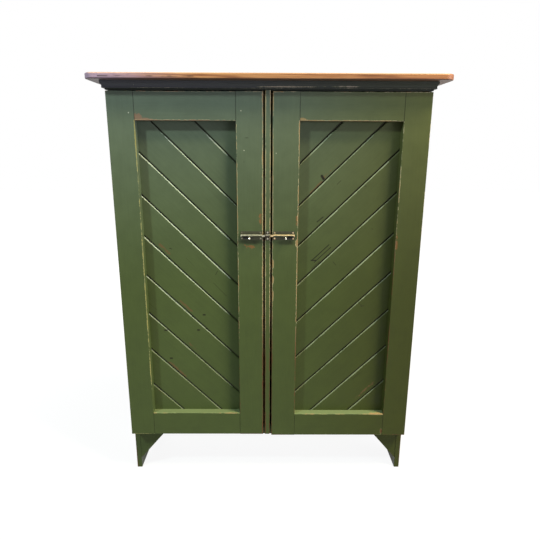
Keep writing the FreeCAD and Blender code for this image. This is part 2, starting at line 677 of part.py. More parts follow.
def bolt_knob(door):
    """Turned button on a stem, screwed into the rod."""
    x = lock_edge(door) - KNOB_DISTANCE
    socket_end = ROD_RADIUS - KNOB_SOCKET + PIN_CLEARANCE
    neck = KNOB_REACH - KNOB_HEIGHT
    outline = [(0, socket_end), (KNOB_STEM_RADIUS, socket_end), (KNOB_STEM_RADIUS, neck),
               (KNOB_RADIUS, neck + KNOB_CHAMFER), (KNOB_RADIUS, KNOB_REACH - KNOB_CHAMFER),
               (KNOB_RADIUS - KNOB_CHAMFER, KNOB_REACH), (0, KNOB_REACH)]
    corners = [Vector(x + radius, ROD_Y, BOLT_HEIGHT - drop) for radius, drop in outline]
    face = Part.Face(Part.makePolygon(corners + corners[:1]))
    turned = face.revolve(Vector(x, ROD_Y, BOLT_HEIGHT), Vector(0, 0, 1), 360)
    return for_door(door, knob_turn(turned))


def keeper():
    """Plate on the post with a loop for the noses of both bolts."""
    x0 = POST_OFFSET - KEEPER_LENGTH / 2
    x1 = POST_OFFSET + KEEPER_LENGTH / 2
    face = DOOR_FRONT - PLATE_THICKNESS
    plate = block(x0, x1, face, DOOR_FRONT, BOLT_HEIGHT - KEEPER_HEIGHT / 2,
                  BOLT_HEIGHT + KEEPER_HEIGHT / 2)
    outer = KEEPER_BORE_RADIUS + KEEPER_WALL
    loop = tunnel(x0, x1, outer, DOOR_FRONT)
    body = plate.fuse(loop).removeSplitter()
    body = body.cut(tunnel(x0, x1, KEEPER_BORE_RADIUS, face))
    return drilled(body, keeper_screw_places(), Vector(0, 1, 0))


# ---------------------------------------------------------------- the whole cupboard

def case_pieces():
    pieces = {"left_side": side_board(LEFT), "right_side": side_board(RIGHT),
              "bottom_board": shelf(FOOT_HEIGHT, BOTTOM_THICKNESS, CASE_FRONT)}
    for index, level in enumerate(shelf_levels()):
        pieces[f"shelf_{index + 1}"] = shelf(level, SHELF_THICKNESS, SHELF_FRONT)
    for index in range(BACK_BOARD_COUNT):
        pieces[f"back_board_{index + 1}"] = back_board(index)
    pieces["top_board"] = top_board()
    pieces["header_rail"] = header_rail()
    pieces["cornice_front"] = cornice_front()
    pieces["cornice_left"] = cornice_side()
    pieces["cornice_right"] = mirrored(cornice_side())
    pieces["centre_post"] = post()
    pieces["base_rail"] = base_rail()
    pieces["left_foot_bracket"] = foot_bracket()
    pieces["right_foot_bracket"] = mirrored(foot_bracket())
    pieces["keeper"] = keeper()
    return pieces


def case_hardware():
    """Hinge leaves and screws that stay with the case, each kind as one group."""
    leaves = [leaf for door in (LEFT, RIGHT) for leaf in hinge_leaves(door, True)]
    screws = [screw(place, Vector(0, 1, 0)) for place in keeper_screw_places()]
    return {"case_hinge_leaves": Part.makeCompound(leaves),
            "keeper_screws": Part.makeCompound(screws)}


def door_pieces(door):
    name = door.name
    pieces = {f"{name}_door_outer_stile": stile(door, True),
              f"{name}_door_lock_stile": stile(door, False),
              f"{name}_door_top_rail": rail(door, True),
              f"{name}_door_bottom_rail": rail(door, False)}
    for index, board in enumerate(panel_boards(door)):
        pieces[f"{name}_door_board_{index + 1:02d}"] = board
    screws = [for_door(door, screw(place, Vector(0, 1, 0))) for place in plate_screw_places(door)]
    pieces[f"{name}_door_hinge_leaves"] = Part.makeCompound(hinge_leaves(door, False))
    pieces[f"{name}_bolt_screws"] = Part.makeCompound(screws)
    pieces[f"{name}_bolt_plate"] = bolt_plate(door)
    pieces[f"{name}_bolt_rod"] = bolt_rod(door)
    pieces[f"{name}_bolt_knob"] = bolt_knob(door)
    return pieces


def main():
    pieces = {**case_pieces(), **case_hardware(), **door_pieces(LEFT), **door_pieces(RIGHT)}
    os.makedirs("parts", exist_ok=True)
    for name, shape in pieces.items():
        shape.exportStep(f"parts/{name}.step")
    print(f"{len(pieces)} nodes")


main()
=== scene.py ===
import math

import bmesh
import bpy
import numpy as np
from mathutils import Matrix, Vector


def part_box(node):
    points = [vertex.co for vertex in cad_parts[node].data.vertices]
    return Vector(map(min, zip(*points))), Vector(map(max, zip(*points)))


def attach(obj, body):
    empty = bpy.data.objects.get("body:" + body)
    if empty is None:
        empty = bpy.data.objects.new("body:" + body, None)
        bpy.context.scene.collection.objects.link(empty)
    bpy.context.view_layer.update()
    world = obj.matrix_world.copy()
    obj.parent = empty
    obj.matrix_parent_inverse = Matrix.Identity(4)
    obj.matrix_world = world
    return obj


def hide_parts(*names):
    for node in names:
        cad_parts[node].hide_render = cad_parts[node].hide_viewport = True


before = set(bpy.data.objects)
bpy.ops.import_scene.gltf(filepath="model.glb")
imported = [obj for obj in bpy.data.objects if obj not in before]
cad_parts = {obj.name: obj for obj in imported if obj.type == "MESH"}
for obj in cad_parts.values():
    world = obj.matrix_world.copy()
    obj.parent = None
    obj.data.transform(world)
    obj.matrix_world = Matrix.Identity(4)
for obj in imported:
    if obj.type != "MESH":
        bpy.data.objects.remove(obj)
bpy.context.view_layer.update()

# Jelly cupboard in worn milk paint with a natural pine top. Metres: X to the right, Y to the back,
# Z up, the floor at Z = 0. The shapes come with the frame; this script finishes their surfaces,
# adds the small hardware and the nails, and sets up the studio.

# ---- what the frame tells

X, Y, Z = (1.0, 0.0, 0.0), (0.0, 1.0, 0.0), (0.0, 0.0, 1.0)
FORWARD, DOWN = (0.0, -1.0, 0.0), (0.0, 0.0, -1.0)

OUTWARD = {"left": -1.0, "right": 1.0}
BOARDS = range(1, 11)
BACK_BOARDS = range(1, 5)
DECKS = ("bottom_board", "shelf_1", "shelf_2", "shelf_3")

DOOR_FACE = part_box("left_door_top_rail")[0].y
PANEL_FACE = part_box("left_door_board_01")[0].y
PANEL_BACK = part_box("left_door_board_01")[1].y
CASE_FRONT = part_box("left_side")[0].y
CASE_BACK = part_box("left_side")[1].y
SIDE_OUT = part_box("right_side")[1].x
TOP_UNDER, TOP_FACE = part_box("top_board")[0].z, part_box("top_board")[1].z
DECK_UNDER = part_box("bottom_board")[0].z


def middle(node):
    """Middle of a piece's box: x, y and z."""
    low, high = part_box(node)
    return [(start + end) / 2 for start, end in zip(low, high)]


_, ROD_Y, ROD_Z = middle("left_bolt_rod")


# ---- colours

def srgb(red, green, blue):
    """Colour from the values on a paint chart, 0 to 255, as light."""
    chart = np.array([red, green, blue]) / 255
    light = np.where(chart <= 0.04045, chart / 12.92, ((chart + 0.055) / 1.055) ** 2.4)
    return (*light.tolist(), 1.0)


def shaded(colour, factor):
    """The colour made darker or lighter by a factor."""
    return (*(part * factor for part in colour[:3]), 1.0)


# paint
MILK_GREEN = srgb(74, 86, 48)
# The three greens below are the milk green with painted light: lighter and cooler at the top,
# darker and yellower to the right.
LOWER_RIGHT_SHADED_GREEN = srgb(56, 60, 20)
UPPER_LEFT_LIT_GREEN = srgb(106, 118, 110)
UPPER_RIGHT_LIT_GREEN = srgb(100, 105, 55)
# Header near-black, darker than the cornice: painted shade in the reveal below the cornice.
HEADER_SHADE_BLACK = srgb(34, 38, 32)
# Cornice blacks: the lighter, bluer one on the left is painted light.
CORNICE_LIT_BLUE_BLACK = srgb(74, 76, 80)
CORNICE_GREEN_BLACK = srgb(54, 58, 48)

# paint rubbed thin
CREAM = srgb(214, 206, 168)
PALE_OLIVE = srgb(176, 172, 124)
RUBBED_PAINT = srgb(150, 160, 112)
RUBBED_BRACKET = srgb(92, 94, 62)
RUBBED_CORNICE = srgb(120, 124, 96)
# Ledge colours: the bottom rails' top faces made paler as painted light.
LIT_LEDGE_PAINT = {"left": srgb(116, 128, 92), "right": srgb(124, 136, 98)}

# wood where the paint is gone
TAN = srgb(156, 130, 90)
ROSY_TAN = srgb(168, 134, 108)
OLIVE_TAN = srgb(150, 144, 88)
POST_TAN = srgb(178, 158, 116)
CORNICE_TAN = srgb(170, 160, 140)
BRACKET_BROWN = srgb(84, 78, 54)
RED_BROWN = srgb(104, 82, 54)
LOCK_STILE_BROWN = srgb(132, 92, 56)
OUTER_STILE_BROWN = srgb(122, 80, 48)
TOP_RAIL_BROWN = srgb(140, 108, 88)
LOW_RED_BROWN = srgb(96, 66, 42)

# marks
DARK = srgb(20, 20, 16)
STAIN_AND_SHADE = srgb(26, 22, 14)
# Ink for real dark marks and for painted shade.
FILLING = srgb(214, 212, 190)

# bare pine
PINE_DARK, PINE_LIGHT = srgb(150, 112, 70), srgb(206, 172, 122)
SHELF_DARK, SHELF_LIGHT = srgb(146, 106, 64), srgb(202, 166, 116)
SHELF_STAIN = srgb(112, 80, 50)
PINE_KNOT = srgb(88, 54, 30)
BACK_JOINT = srgb(48, 34, 22)

# waxed top
TOP_DARK, TOP_MIDDLE, TOP_LIGHT = srgb(110, 66, 40), srgb(158, 104, 66), srgb(184, 132, 88)
TOP_GREYED = srgb(164, 144, 176)
TOP_WARM = srgb(164, 98, 54)
TOP_KNOT = srgb(66, 38, 22)
TOP_SEAM = srgb(60, 36, 22)
TOP_STREAK = srgb(104, 62, 38)
# Painted shade on the top's underside.
TOP_UNDERSIDE_SHADE = srgb(84, 66, 50)
TOP_ARRIS = srgb(232, 178, 132)
# Painted shade along the top's lower front arris.
TOP_LOWER_ARRIS_SHADE = srgb(74, 48, 38)
TOP_DASHES = srgb(52, 36, 30)
WORM_HOLE = srgb(44, 26, 16)

# metal
SILVER = srgb(176, 172, 154)
WARM_BRASS = srgb(214, 188, 146)
# Bright metal where rubbed, also the painted highlight along the barrels' crowns.
RUBBED_AND_HIGHLIGHT = {"left": SILVER, "right": WARM_BRASS}
PLATE_BRONZE = srgb(52, 52, 36)
KEEPER_BRONZE = srgb(54, 50, 44)
ROD_NICKEL = srgb(120, 112, 96)
KNOB_NICKEL, KNOB_SHINE = srgb(150, 142, 124), srgb(232, 226, 208)
PLATE_SCREW_BRASS = srgb(84, 80, 62)
KEEPER_SCREW_BRASS = srgb(150, 140, 116)
HINGE_IRON, HINGE_RUBBED = srgb(44, 40, 36), srgb(130, 120, 104)
HINGE_SCREW_IRON, HINGE_SCREW_RUBBED = srgb(70, 66, 60), srgb(170, 160, 140)
NAIL_IRON, NAIL_RUBBED = srgb(52, 46, 40), srgb(120, 108, 92)


# ---- mixing finishes

# Sockets of the node that mixes colours: share, colour below, colour above, and what comes out.
SHARE, BELOW, ABOVE, MIXED = 0, 6, 7, 2


class Finish:
    """One finish being mixed. Each method adds a shader node and gives back what it puts out."""

    def __init__(self, name):
        self.material = bpy.data.materials.new(name)
        self.material.use_nodes = True
        tree = self.material.node_tree
        self.nodes, self.links = tree.nodes, tree.links
        self.shader = self.nodes["Principled BSDF"]
        self.place = self.nodes.new("ShaderNodeTexCoord").outputs["Object"]
        self.x, self.y, self.z = self.node("ShaderNodeSeparateXYZ", Vector=self.place).outputs

    def feed(self, socket, value):
        """Links another node's output to the socket, or sets a plain value on it."""
        if isinstance(value, bpy.types.NodeSocket):
            self.links.new(value, socket)
        else:
            socket.default_value = value

    def node(self, kind, **inputs):
        """New shader node with its inputs fed by name."""
        made = self.nodes.new(kind)
        for name, value in inputs.items():
            self.feed(made.inputs[name.replace("_", " ")], value)
        return made

    def math(self, operation, *values, kind="ShaderNodeMath", output="Value"):
        made = self.nodes.new(kind)
        made.operation = operation
        for socket, value in zip(made.inputs, values):
            self.feed(socket, value)
        return made.outputs[output]

    def times(self, one, other):
        return self.math("MULTIPLY", one, other)

    def vector(self, operation, *values):
        single = operation in ("DOT_PRODUCT", "LENGTH", "DISTANCE")
        return self.math(operation, *values, kind="ShaderNodeVectorMath",
                         output="Value" if single else "Vector")

    def span(self, value, low, high, to_low=0.0, to_high=1.0):
        """Value carried smoothly from one range to another, held at its ends."""
        made = self.nodes.new("ShaderNodeMapRange")
        made.interpolation_type = "SMOOTHSTEP"
        for socket, number in zip(made.inputs, (value, low, high, to_low, to_high)):
            self.feed(socket, number)
        return made.outputs[0]

    def noise(self, where, scale, detail=2.0, roughness=0.5, distortion=0.0):
        return self.node("ShaderNodeTexNoise", Vector=where, Scale=scale, Detail=detail,
                         Roughness=roughness, Distortion=distortion).outputs[0]

    def specks(self, scale, size, share):
        """Round specks of a size in metres, in that share of cells of a random lattice."""
        cells = self.node("ShaderNodeTexVoronoi", Vector=self.place, Scale=scale)
        dot = self.span(cells.outputs["Distance"], size * scale, size * scale * 0.6)
        chance = self.node("ShaderNodeSeparateColor", Color=cells.outputs["Color"]).outputs[0]
        return self.times(dot, self.math("LESS_THAN", chance, share))

    def mix(self, amount, under, over):
        """One colour laid over another by an amount between 0 and 1."""
        made = self.nodes.new("ShaderNodeMix")
        made.data_type = "RGBA"
        for socket, value in ((SHARE, amount), (BELOW, under), (ABOVE, over)):
            self.feed(made.inputs[socket], value)
        return made.outputs[MIXED]

    def lay(self, colour, over, amount, share):
        """A colour laid over another by a share of an amount."""
        return self.mix(self.times(amount, share), colour, over)

    def ramp(self, value, *stops):
        """Colours met one after another as the value rises; each stop is (value, colour)."""
        made = self.nodes.new("ShaderNodeValToRGB")
        elements = made.color_ramp.elements
        while len(elements) < len(stops):
            elements.new(0.5)
        for element, (at, colour) in zip(elements, stops):
            element.position = at
            element.color = colour
        self.feed(made.inputs[0], value)
        return made.outputs[0]

    def brightened(self, colour, by):
        """The colour with its value multiplied by 1 plus a small change."""
        value = self.math("ADD", by, 1.0)
        return self.node("ShaderNodeHueSaturation", Value=value, Color=colour).outputs[0]

    def grain_place(self, along, squeeze):
        """Place squeezed along the grain, so that noise runs out into streaks."""
        run = self.vector("DOT_PRODUCT", self.place, along)
        back = tuple(part * (squeeze - 1) for part in along)
        return self.vector("ADD", self.place, self.vector("MULTIPLY", back, run))

    def streaks(self, along, squeeze, *looks):
        return self.noise(self.grain_place(along, squeeze), *looks)

    def line(self, point, direction, reach, strength=1.0, length=None):
        """Strength on a straight line through the point, fading out over the reach. With a
        length, the line starts at the point and ends that far from it."""
        away = self.vector("SUBTRACT", self.place, point)
        run = self.vector("DOT_PRODUCT", away, direction)
        if length is not None:
            run = self.math("MINIMUM", self.math("MAXIMUM", run, 0.0), length)
        foot = self.vector("MULTIPLY", direction, run)
        gap = self.vector("DISTANCE", away, foot)
        return self.span(gap, 0.0, reach, strength, 0.0)

    def spot(self, centre, radii, strength=1.0):
        """Strength in the middle of an egg-shaped spot, fading out over its radii."""
        away = self.vector("SUBTRACT", self.place, centre)
        scaled = self.vector("DIVIDE", away, radii)
        return self.span(self.vector("LENGTH", scaled), 0.35, 1.0, strength, 0.0)

    def most(self, values):
        """Largest of several values, and at least 0."""
        largest = 0.0
        for value in values:
            largest = self.math("MAXIMUM", largest, value)
        return largest

    def relief(self, height, depth):
        """Bump of a depth in metres from a height between 0 and 1."""
        bump = self.node("ShaderNodeBump", Distance=depth, Height=height)
        self.feed(self.shader.inputs["Normal"], bump.outputs[0])

    def surface(self, colour, roughness, gloss=0.5, metal=0.0):
        """Ends the mixing: the finished material."""
        self.feed(self.shader.inputs["Base Color"], colour)
        self.feed(self.shader.inputs["Roughness"], roughness)
        self.shader.inputs["Specular IOR Level"].default_value = gloss
        self.shader.inputs["Metallic"].default_value = metal
        return self.material


def dress(node, material):
    """Puts the finish on a piece of the frame."""
    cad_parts[node].data.materials[0] = material


def added(name, data):
    """New object in the scene, over a mesh, lamp or camera."""
    made = bpy.data.objects.new(name, data)
    bpy.context.scene.collection.objects.link(made)
    return made


# ---- wood and worn paint

# How far rubbing goes before paint begins to thin, is thinnest, and is gone to the wood.
THINNING, THINNEST, GONE = 0.28, 0.55, 0.72


def bare_pine(mix, along, dark=PINE_DARK, light=PINE_LIGHT):
    """Old bare pine: long streaks of growth rings and a fine fibre along the grain."""
    rings = mix.streaks(along, 0.05, 34.0, 3.0, 0.55, 0.6)
    fibre = mix.streaks(along, 0.02, 420.0, 2.0, 0.6)
    grain = mix.math("MULTIPLY_ADD", fibre, 0.25, mix.times(rings, 0.85))
    return mix.ramp(grain, (0.36, dark), (0.62, light)), grain


def green_with_painted_light(mix):
    """Milk green with painted light: lighter and cooler towards the top, darker and yellower
    towards the right.
    """
    toward_right = mix.span(mix.x, -0.2, 0.7)
    toward_top = mix.span(mix.z, 0.7, 2.0)
    return mix.mix(toward_top, mix.mix(toward_right, MILK_GREEN, LOWER_RIGHT_SHADED_GREEN),
                   mix.mix(toward_right, UPPER_LEFT_LIT_GREEN, UPPER_RIGHT_LIT_GREEN))


def rubbing(mix, marks, uneven):
    """How thin the paint is and how far it is gone: the strongest mark, made uneven wherever
    there is any rubbing at all, held against the three limits above."""
    rub = mix.most([mark(mix) for mark in marks])
    rub = mix.math("MULTIPLY_ADD", uneven, mix.span(rub, 0.0, 0.25), rub)
    return mix.span(rub, THINNING, THINNEST), mix.span(rub, THINNEST, GONE)


def paint(name, along, worn=(), seams=(), stains=(), fills=(), patches=(), bare=None,
          under=TAN, edge=CREAM, patch=RED_BROWN, tone=green_with_painted_light):
    """Milk paint over pine, brushed along the grain.

    Each mark is a function of the finish that gives its strength: worn is rubbing, on the V joints
    with a painted highlight in it; seams are dark joint lines; stains are dark marks, real
    ones and painted shade; fills are pale nail fillings; patches are places laid with the colour
    patch, worn ones and, on the bottom rails' ledges, painted light. bare says where the wood was
    never painted, tone gives the paint's colour, by default with painted light in it, under is the
    wood below it and edge the thin paint round that, each a colour or a function. The wood shows
    where rubbing plus noise passes a limit, and the paint is thin just short of it.
    """
    mix = Finish(name)
    broad = mix.noise(mix.place, 2.6, 2.0)
    mottle = mix.noise(mix.place, 17.0, 4.0, 0.6)
    brushed = mix.streaks(along, 0.05, 190.0, 3.0, 0.6)
    coarse = mix.noise(mix.place, 9.0, 3.0, 0.7)
    fine = mix.noise(mix.place, 110.0, 5.0, 0.7)

    drift = mix.math("ADD", mix.span(brushed, 0.3, 0.7, -0.03, 0.03),
                     mix.span(mottle, 0.3, 0.7, -0.05, 0.05))
    drift = mix.math("ADD", drift, mix.span(broad, 0.35, 0.65, -0.03, 0.03))
    colour = mix.brightened(tone(mix), drift)

    uneven = mix.math("ADD", mix.span(fine, 0.25, 0.75, -0.4, 0.4),
                      mix.span(coarse, 0.3, 0.7, -0.35, 0.35))
    if patches:
        colour = mix.lay(colour, patch, rubbing(mix, patches, uneven)[0], 0.75)
    thin, through = rubbing(mix, worn, uneven)
    wood = under(mix) if callable(under) else bare_pine(mix, along, shaded(under, 0.62), under)[0]
    colour = mix.lay(colour, edge(mix) if callable(edge) else edge, thin, 0.55)
    colour = mix.mix(through, colour, wood)
    if bare is not None:
        colour = mix.mix(bare(mix), colour, bare_pine(mix, along)[0])
    for marks, ink in ((seams, DARK), (stains, STAIN_AND_SHADE), (fills, FILLING)):
        if marks:
            colour = mix.mix(mix.most([mark(mix) for mark in marks]), colour, ink)
    pits = mix.specks(9.0, 0.0014, 0.1)
    colour = mix.lay(colour, DARK, pits, 0.8)

    height = mix.math("MULTIPLY_ADD", brushed, 0.2, mix.times(mottle, 0.4))
    height = mix.math("MULTIPLY_ADD", through, -0.35, height)
    height = mix.math("MULTIPLY_ADD", pits, -1.0, height)
    mix.relief(height, 0.0006)
    dull = mix.math("MULTIPLY_ADD", through, 0.15, mix.span(mottle, 0.3, 0.7, 0.42, 0.56))
    return mix.surface(colour, dull, gloss=0.18)


def reddening(colour, full=0.48, none=0.78):
    """The colour, turning red-brown towards the floor between two heights."""
    return lambda mix: mix.mix(mix.span(mix.z, full, none), LOW_RED_BROWN, colour)


def behind(depth):
    """Everything further back than a plane, as the never painted wood of a door's inside is."""
    return lambda mix: mix.math("GREATER_THAN", mix.y, depth)


def on_line(point, direction, reach, strength, length=None):
    return lambda mix: mix.line(point, direction, reach, strength, length)


def on_spot(centre, radii, strength=1.0):
    return lambda mix: mix.spot(centre, radii, strength)


def on_face(x, z, radii, strength=1.0):
    """Spot on the front of the door frames."""
    return on_spot((x, DOOR_FACE, z), radii, strength)


def filled_nail(x, z, radius):
    """Pale round filling over a nail in the front of the door frames."""
    return on_face(x, z, (radius,) * 3)


def upright(x, reach, strength, foot=0.0, head=2.0):
    """Line up the front of the door frames, from foot to head."""
    return on_line((x, DOOR_FACE, foot), Z, reach, strength, head - foot)


def level(z, reach, strength):
    """Line right across the front of the door frames."""
    return on_line((0.0, DOOR_FACE, z), X, reach, strength)


def streak(x, z, half_length, half_width, lean, strength, y):
    """Long thin mark in an upright plane, leaning by degrees above level."""
    turn = math.radians(lean)
    way = (math.cos(turn), 0.0, math.sin(turn))
    start = (x - way[0] * half_length, y, z - way[2] * half_length)
    return on_line(start, way, half_width, strength, 2 * half_length)


# ---- the door frames

# How far back from its face each part of the front is painted.
PAINTED_FRAME, PAINTED_BOARD, PAINTED_POST = 0.037, 0.012, 0.04
# Reach and strength of the wear on each lock stile's arris.
LOCK_ARRIS = {"left": (0.006, 0.86), "right": (0.005, 0.78)}


class DoorFrame:
    """Where one door's frame has its edges: its own, and those of the opening for the panel."""

    def __init__(self, side):
        outer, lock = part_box(f"{side}_door_outer_stile"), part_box(f"{side}_door_lock_stile")
        self.side, self.left = side, side == "left"
        self.foot, self.head = outer[0].z, outer[1].z
        near, far = (0, 1) if self.left else (1, 0)
        self.outer_edge, self.panel_outer = outer[near].x, outer[far].x
        self.panel_lock, self.lock_edge = lock[near].x, lock[far].x
        self.panel_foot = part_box(f"{side}_door_bottom_rail")[1].z
        self.panel_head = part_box(f"{side}_door_top_rail")[0].z

    def shoulders(self, x):
        """Joint lines where the two rails' shoulders meet a stile."""
        return [upright(x, 0.0017, 0.9, self.panel_head, self.head),
                upright(x, 0.0015, 0.7, self.foot, self.panel_foot)]

    def finish(self, member, along, *joints, **looks):
        """Paints one member of the frame, with its joints at the given edges and a bare back."""
        dress(f"{self.side}_door_{member}", paint(
            f"{self.side}_{member}_paint", along, bare=behind(DOOR_FACE + PAINTED_FRAME),
            seams=[line for x in joints for line in self.shoulders(x)], **looks))


def finish_outer_stile(door):
    """Rubbed along the panel; the right one worn to a redder wood in its lower half."""
    if door.left:
        along_panel = upright(door.panel_outer, 0.005, 0.62, door.panel_foot + 0.09,
                              door.panel_head)
        own = {"under": OLIVE_TAN, "edge": PALE_OLIVE,
               "fills": [filled_nail(-0.4629, 1.3782, 0.0022)]}
    else:
        along_panel = upright(door.panel_outer, 0.005, 0.58, door.panel_foot, door.panel_head)
        own = {"under": reddening(TAN, 0.8, 1.15), "edge": reddening(CREAM, 0.8, 1.15),
               "patches": [on_face(door.panel_outer + 0.003, 0.948, (0.009, 0.01, 0.045), 0.55)]}
    worn = [along_panel, upright(door.outer_edge, 0.003, 0.4),
            level(door.foot, 0.004, 0.45), level(door.head, 0.004, 0.5)]
    door.finish("outer_stile", Z, door.panel_outer, worn=worn, patch=OUTER_STILE_BROWN, **own)


def finish_lock_stile(door):
    """Rubbed hardest, along the panel and the lock edge, with dark marks and patches round the bolt
    and a painted shadow below it.
    """
    worn = [upright(door.panel_lock, 0.0046, 0.72, door.panel_foot, door.panel_head),
            upright(door.lock_edge, *LOCK_ARRIS[door.side]),
            level(door.foot, 0.004, 0.45), level(door.head, 0.005, 0.55)]
    if door.left:
        patches = [streak(-0.073, 0.931, 0.016, 0.006, -22, 0.8, DOOR_FACE),
                   on_face(-0.0671, 0.9272, (0.026, 0.01, 0.012), 0.6),
                   on_face(-0.029, 1.0336, (0.01, 0.01, 0.034), 0.52)]
        fills = [filled_nail(-0.0937, 1.3855, 0.002), filled_nail(-0.0848, 1.2592, 0.002)]
        stains = [on_face(-0.0751, 1.2999, (0.009, 0.004, 0.002), 0.6),
                  on_face(-0.0859, 1.2213, (0.0025, 0.004, 0.002), 0.5),
                  # Painted shadow below the bolt's plate:
                  on_face(-0.066, 0.948, (0.06, 0.01, 0.013), 0.65)]
    else:
        worn += [on_face(door.lock_edge, z, (0.0085, 0.01, 0.028)) for z in (0.868, 0.812, 0.748)]
        worn.append(on_face(door.panel_lock - 0.003, 0.943, (0.008, 0.01, 0.018), 0.72))
        patches = [on_face(door.panel_lock - 0.004, 1.02, (0.007, 0.01, 0.034), 0.47)]
        fills = [filled_nail(0.0231, 1.2502, 0.0018)]
        # The mark here is a painted shadow below the bolt's plate.
        stains = [on_face(0.0597, 0.945, (0.045, 0.01, 0.012), 0.5)]
    door.finish("lock_stile", Z, door.panel_lock, worn=worn, stains=stains, fills=fills,
                patches=patches, patch=LOCK_STILE_BROWN, under=reddening(TAN),
                edge=reddening(CREAM))


def finish_top_rail(door):
    """Rubbed along its lower arris, with painted shade on its underside over the panel, worn at the
    panel's corner.
    """
    if door.left:
        own = {"under": ROSY_TAN, "patch": TOP_RAIL_BROWN, "patches": [
            on_face(door.panel_outer + 0.004, door.panel_head, (0.03, 0.01, 0.034), 0.6),
            on_face(door.panel_outer + 0.01, door.panel_head, (0.07, 0.01, 0.012), 0.65)]}
    else:
        own = {"under": TAN, "patch": TAN, "patches": [
            on_face(door.panel_lock + 0.008, door.panel_head + 0.002, (0.02, 0.01, 0.01))]}
    door.finish("top_rail", X, door.panel_outer, door.panel_lock,
                worn=[level(door.panel_head, 0.005, 0.85), level(door.head, 0.004, 0.5)],
                # Painted shade under the rail, where it overhangs the sunk panel.
                stains=[on_line((0.0, DOOR_FACE + 0.016, door.panel_head), X, 0.0165, 0.9)], **own)


def finish_bottom_rail(door):
    """Rubbed on its upper arris, with the ledge behind it made pale as painted light falling from
    above.
    """
    worn = [level(door.panel_foot, 0.004, 0.55), level(door.foot, 0.004, 0.5)]
    if not door.left:
        worn += [on_face(door.panel_outer - 0.02, door.panel_foot, (0.05, 0.02, 0.006), 0.95),
                 on_face(door.panel_outer - 0.004, 0.192, (0.006, 0.01, 0.016), 0.95)]
    # Painted light: the ledge's top face laid paler, as lit from above.
    ledge = on_spot(((door.panel_outer + door.panel_lock) / 2, (DOOR_FACE + PANEL_FACE) / 2,
                     door.panel_foot), (0.8, 0.05, 0.0015), 1.6)
    door.finish("bottom_rail", X, door.panel_outer, door.panel_lock, worn=worn,
                patches=[ledge], patch=LIT_LEDGE_PAINT[door.side], under=reddening(TAN, 0.2, 0.26),
                edge=RUBBED_PAINT)


for door in map(DoorFrame, OUTWARD):
    finish_outer_stile(door)
    finish_lock_stile(door)
    finish_top_rail(door)
    finish_bottom_rail(door)


# ---- the diagonal boards

BOARD_SLOPE = math.radians(44.5)
BOARD_CHAMFER = 0.004
FLAT = 1e-5
# Per door: strength of the pale joint line, rubbing and painted highlight together; strength of the
# painted shade in the joints; colours of the pale line at the bottom and the top, paler upwards as
# painted light.
JOINT_WEAR_AND_HIGHLIGHT = {"left": 1.35, "right": 1.05}
JOINT_SHADE = {"left": 1.00, "right": 1.15}
JOINT_PAINT_AND_HIGHLIGHT = {"left": (srgb(110, 118, 88), srgb(176, 186, 164)),
               "right": (srgb(130, 138, 110), srgb(146, 154, 128))}

# Marks on the boards of each door: centre x and z, half length, half width, lean in degrees above
# level, and strength.
BOARD_PATCHES = {
    "left": ((-0.3733, 0.913, 0.024, 0.009, -46, 0.48), (-0.305, 0.698, 0.03, 0.007, -45, 0.47),
             (-0.276, 0.527, 0.034, 0.006, -45, 0.52), (-0.35, 0.444, 0.042, 0.008, -45, 0.52),
             (-0.407, 0.339, 0.026, 0.006, -45, 0.52), (-0.227, 0.891, 0.032, 0.005, -45, 0.5)),
    "right": ((0.164, 1.135, 0.026, 0.007, 45, 0.7), (0.2094, 1.19, 0.03, 0.006, 45, 0.42),
              (0.374, 0.354, 0.046, 0.01, 45, 0.32))}
BOARD_STAINS = {
    "left": ((-0.3531, 0.9163, 0.004, 0.0022, -20, 0.9), (-0.2405, 0.6648, 0.0026, 0.0056, 0, 1.0),
             (-0.2634, 0.6042, 0.0026, 0.0056, 0, 1.0), (-0.3858, 0.6032, 0.004, 0.0056, 0, 1.0),
             (-0.3712, 0.4889, 0.0032, 0.0056, 0, 1.0), (-0.1903, 0.8268, 0.008, 0.002, 62, 0.7),
             (-0.1793, 0.7633, 0.034, 0.0013, -47, 0.75), (-0.2854, 0.867, 0.02, 0.001, -46, 0.5),
             (-0.4291, 0.696, 0.018, 0.0012, -45, 0.5)),
    "right": ((0.1852, 1.169, 0.006, 0.007, -58, 1.5), (0.2421, 1.1522, 0.009, 0.0017, 45, 0.7),
              (0.3344, 1.1405, 0.003, 0.0024, 0, 0.8), (0.3673, 0.9896, 0.002, 0.002, 0, 0.7),
              (0.1801, 1.023, 0.013, 0.004, 40, 0.75), (0.186, 0.904, 0.04, 0.0026, 44, 1.3),
              (0.193, 0.895, 0.04, 0.0022, 44, 1.2), (0.161, 0.874, 0.008, 0.0042, 0, 1.0),
              (0.17, 0.856, 0.018, 0.007, 44, 0.45), (0.339, 0.7065, 0.01, 0.0014, -50, 0.8),
              (0.347, 0.701, 0.005, 0.002, 20, 0.8), (0.2376, 0.8628, 0.008, 0.0022, -50, 0.6),
              (0.3378, 0.4153, 0.02, 0.005, 45, 0.3))}


def face_extent(node, across):
    """Least and greatest place, measured across the slope, of the corners of a board's face."""
    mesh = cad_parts[node].data
    corners = np.empty(3 * len(mesh.vertices), np.float32)
    mesh.vertices.foreach_get("co", corners)
    corners = corners.reshape(-1, 3).astype(float)
    face = corners[corners[:, 1] < PANEL_FACE + FLAT] @ across
    return face.min(), face.max()


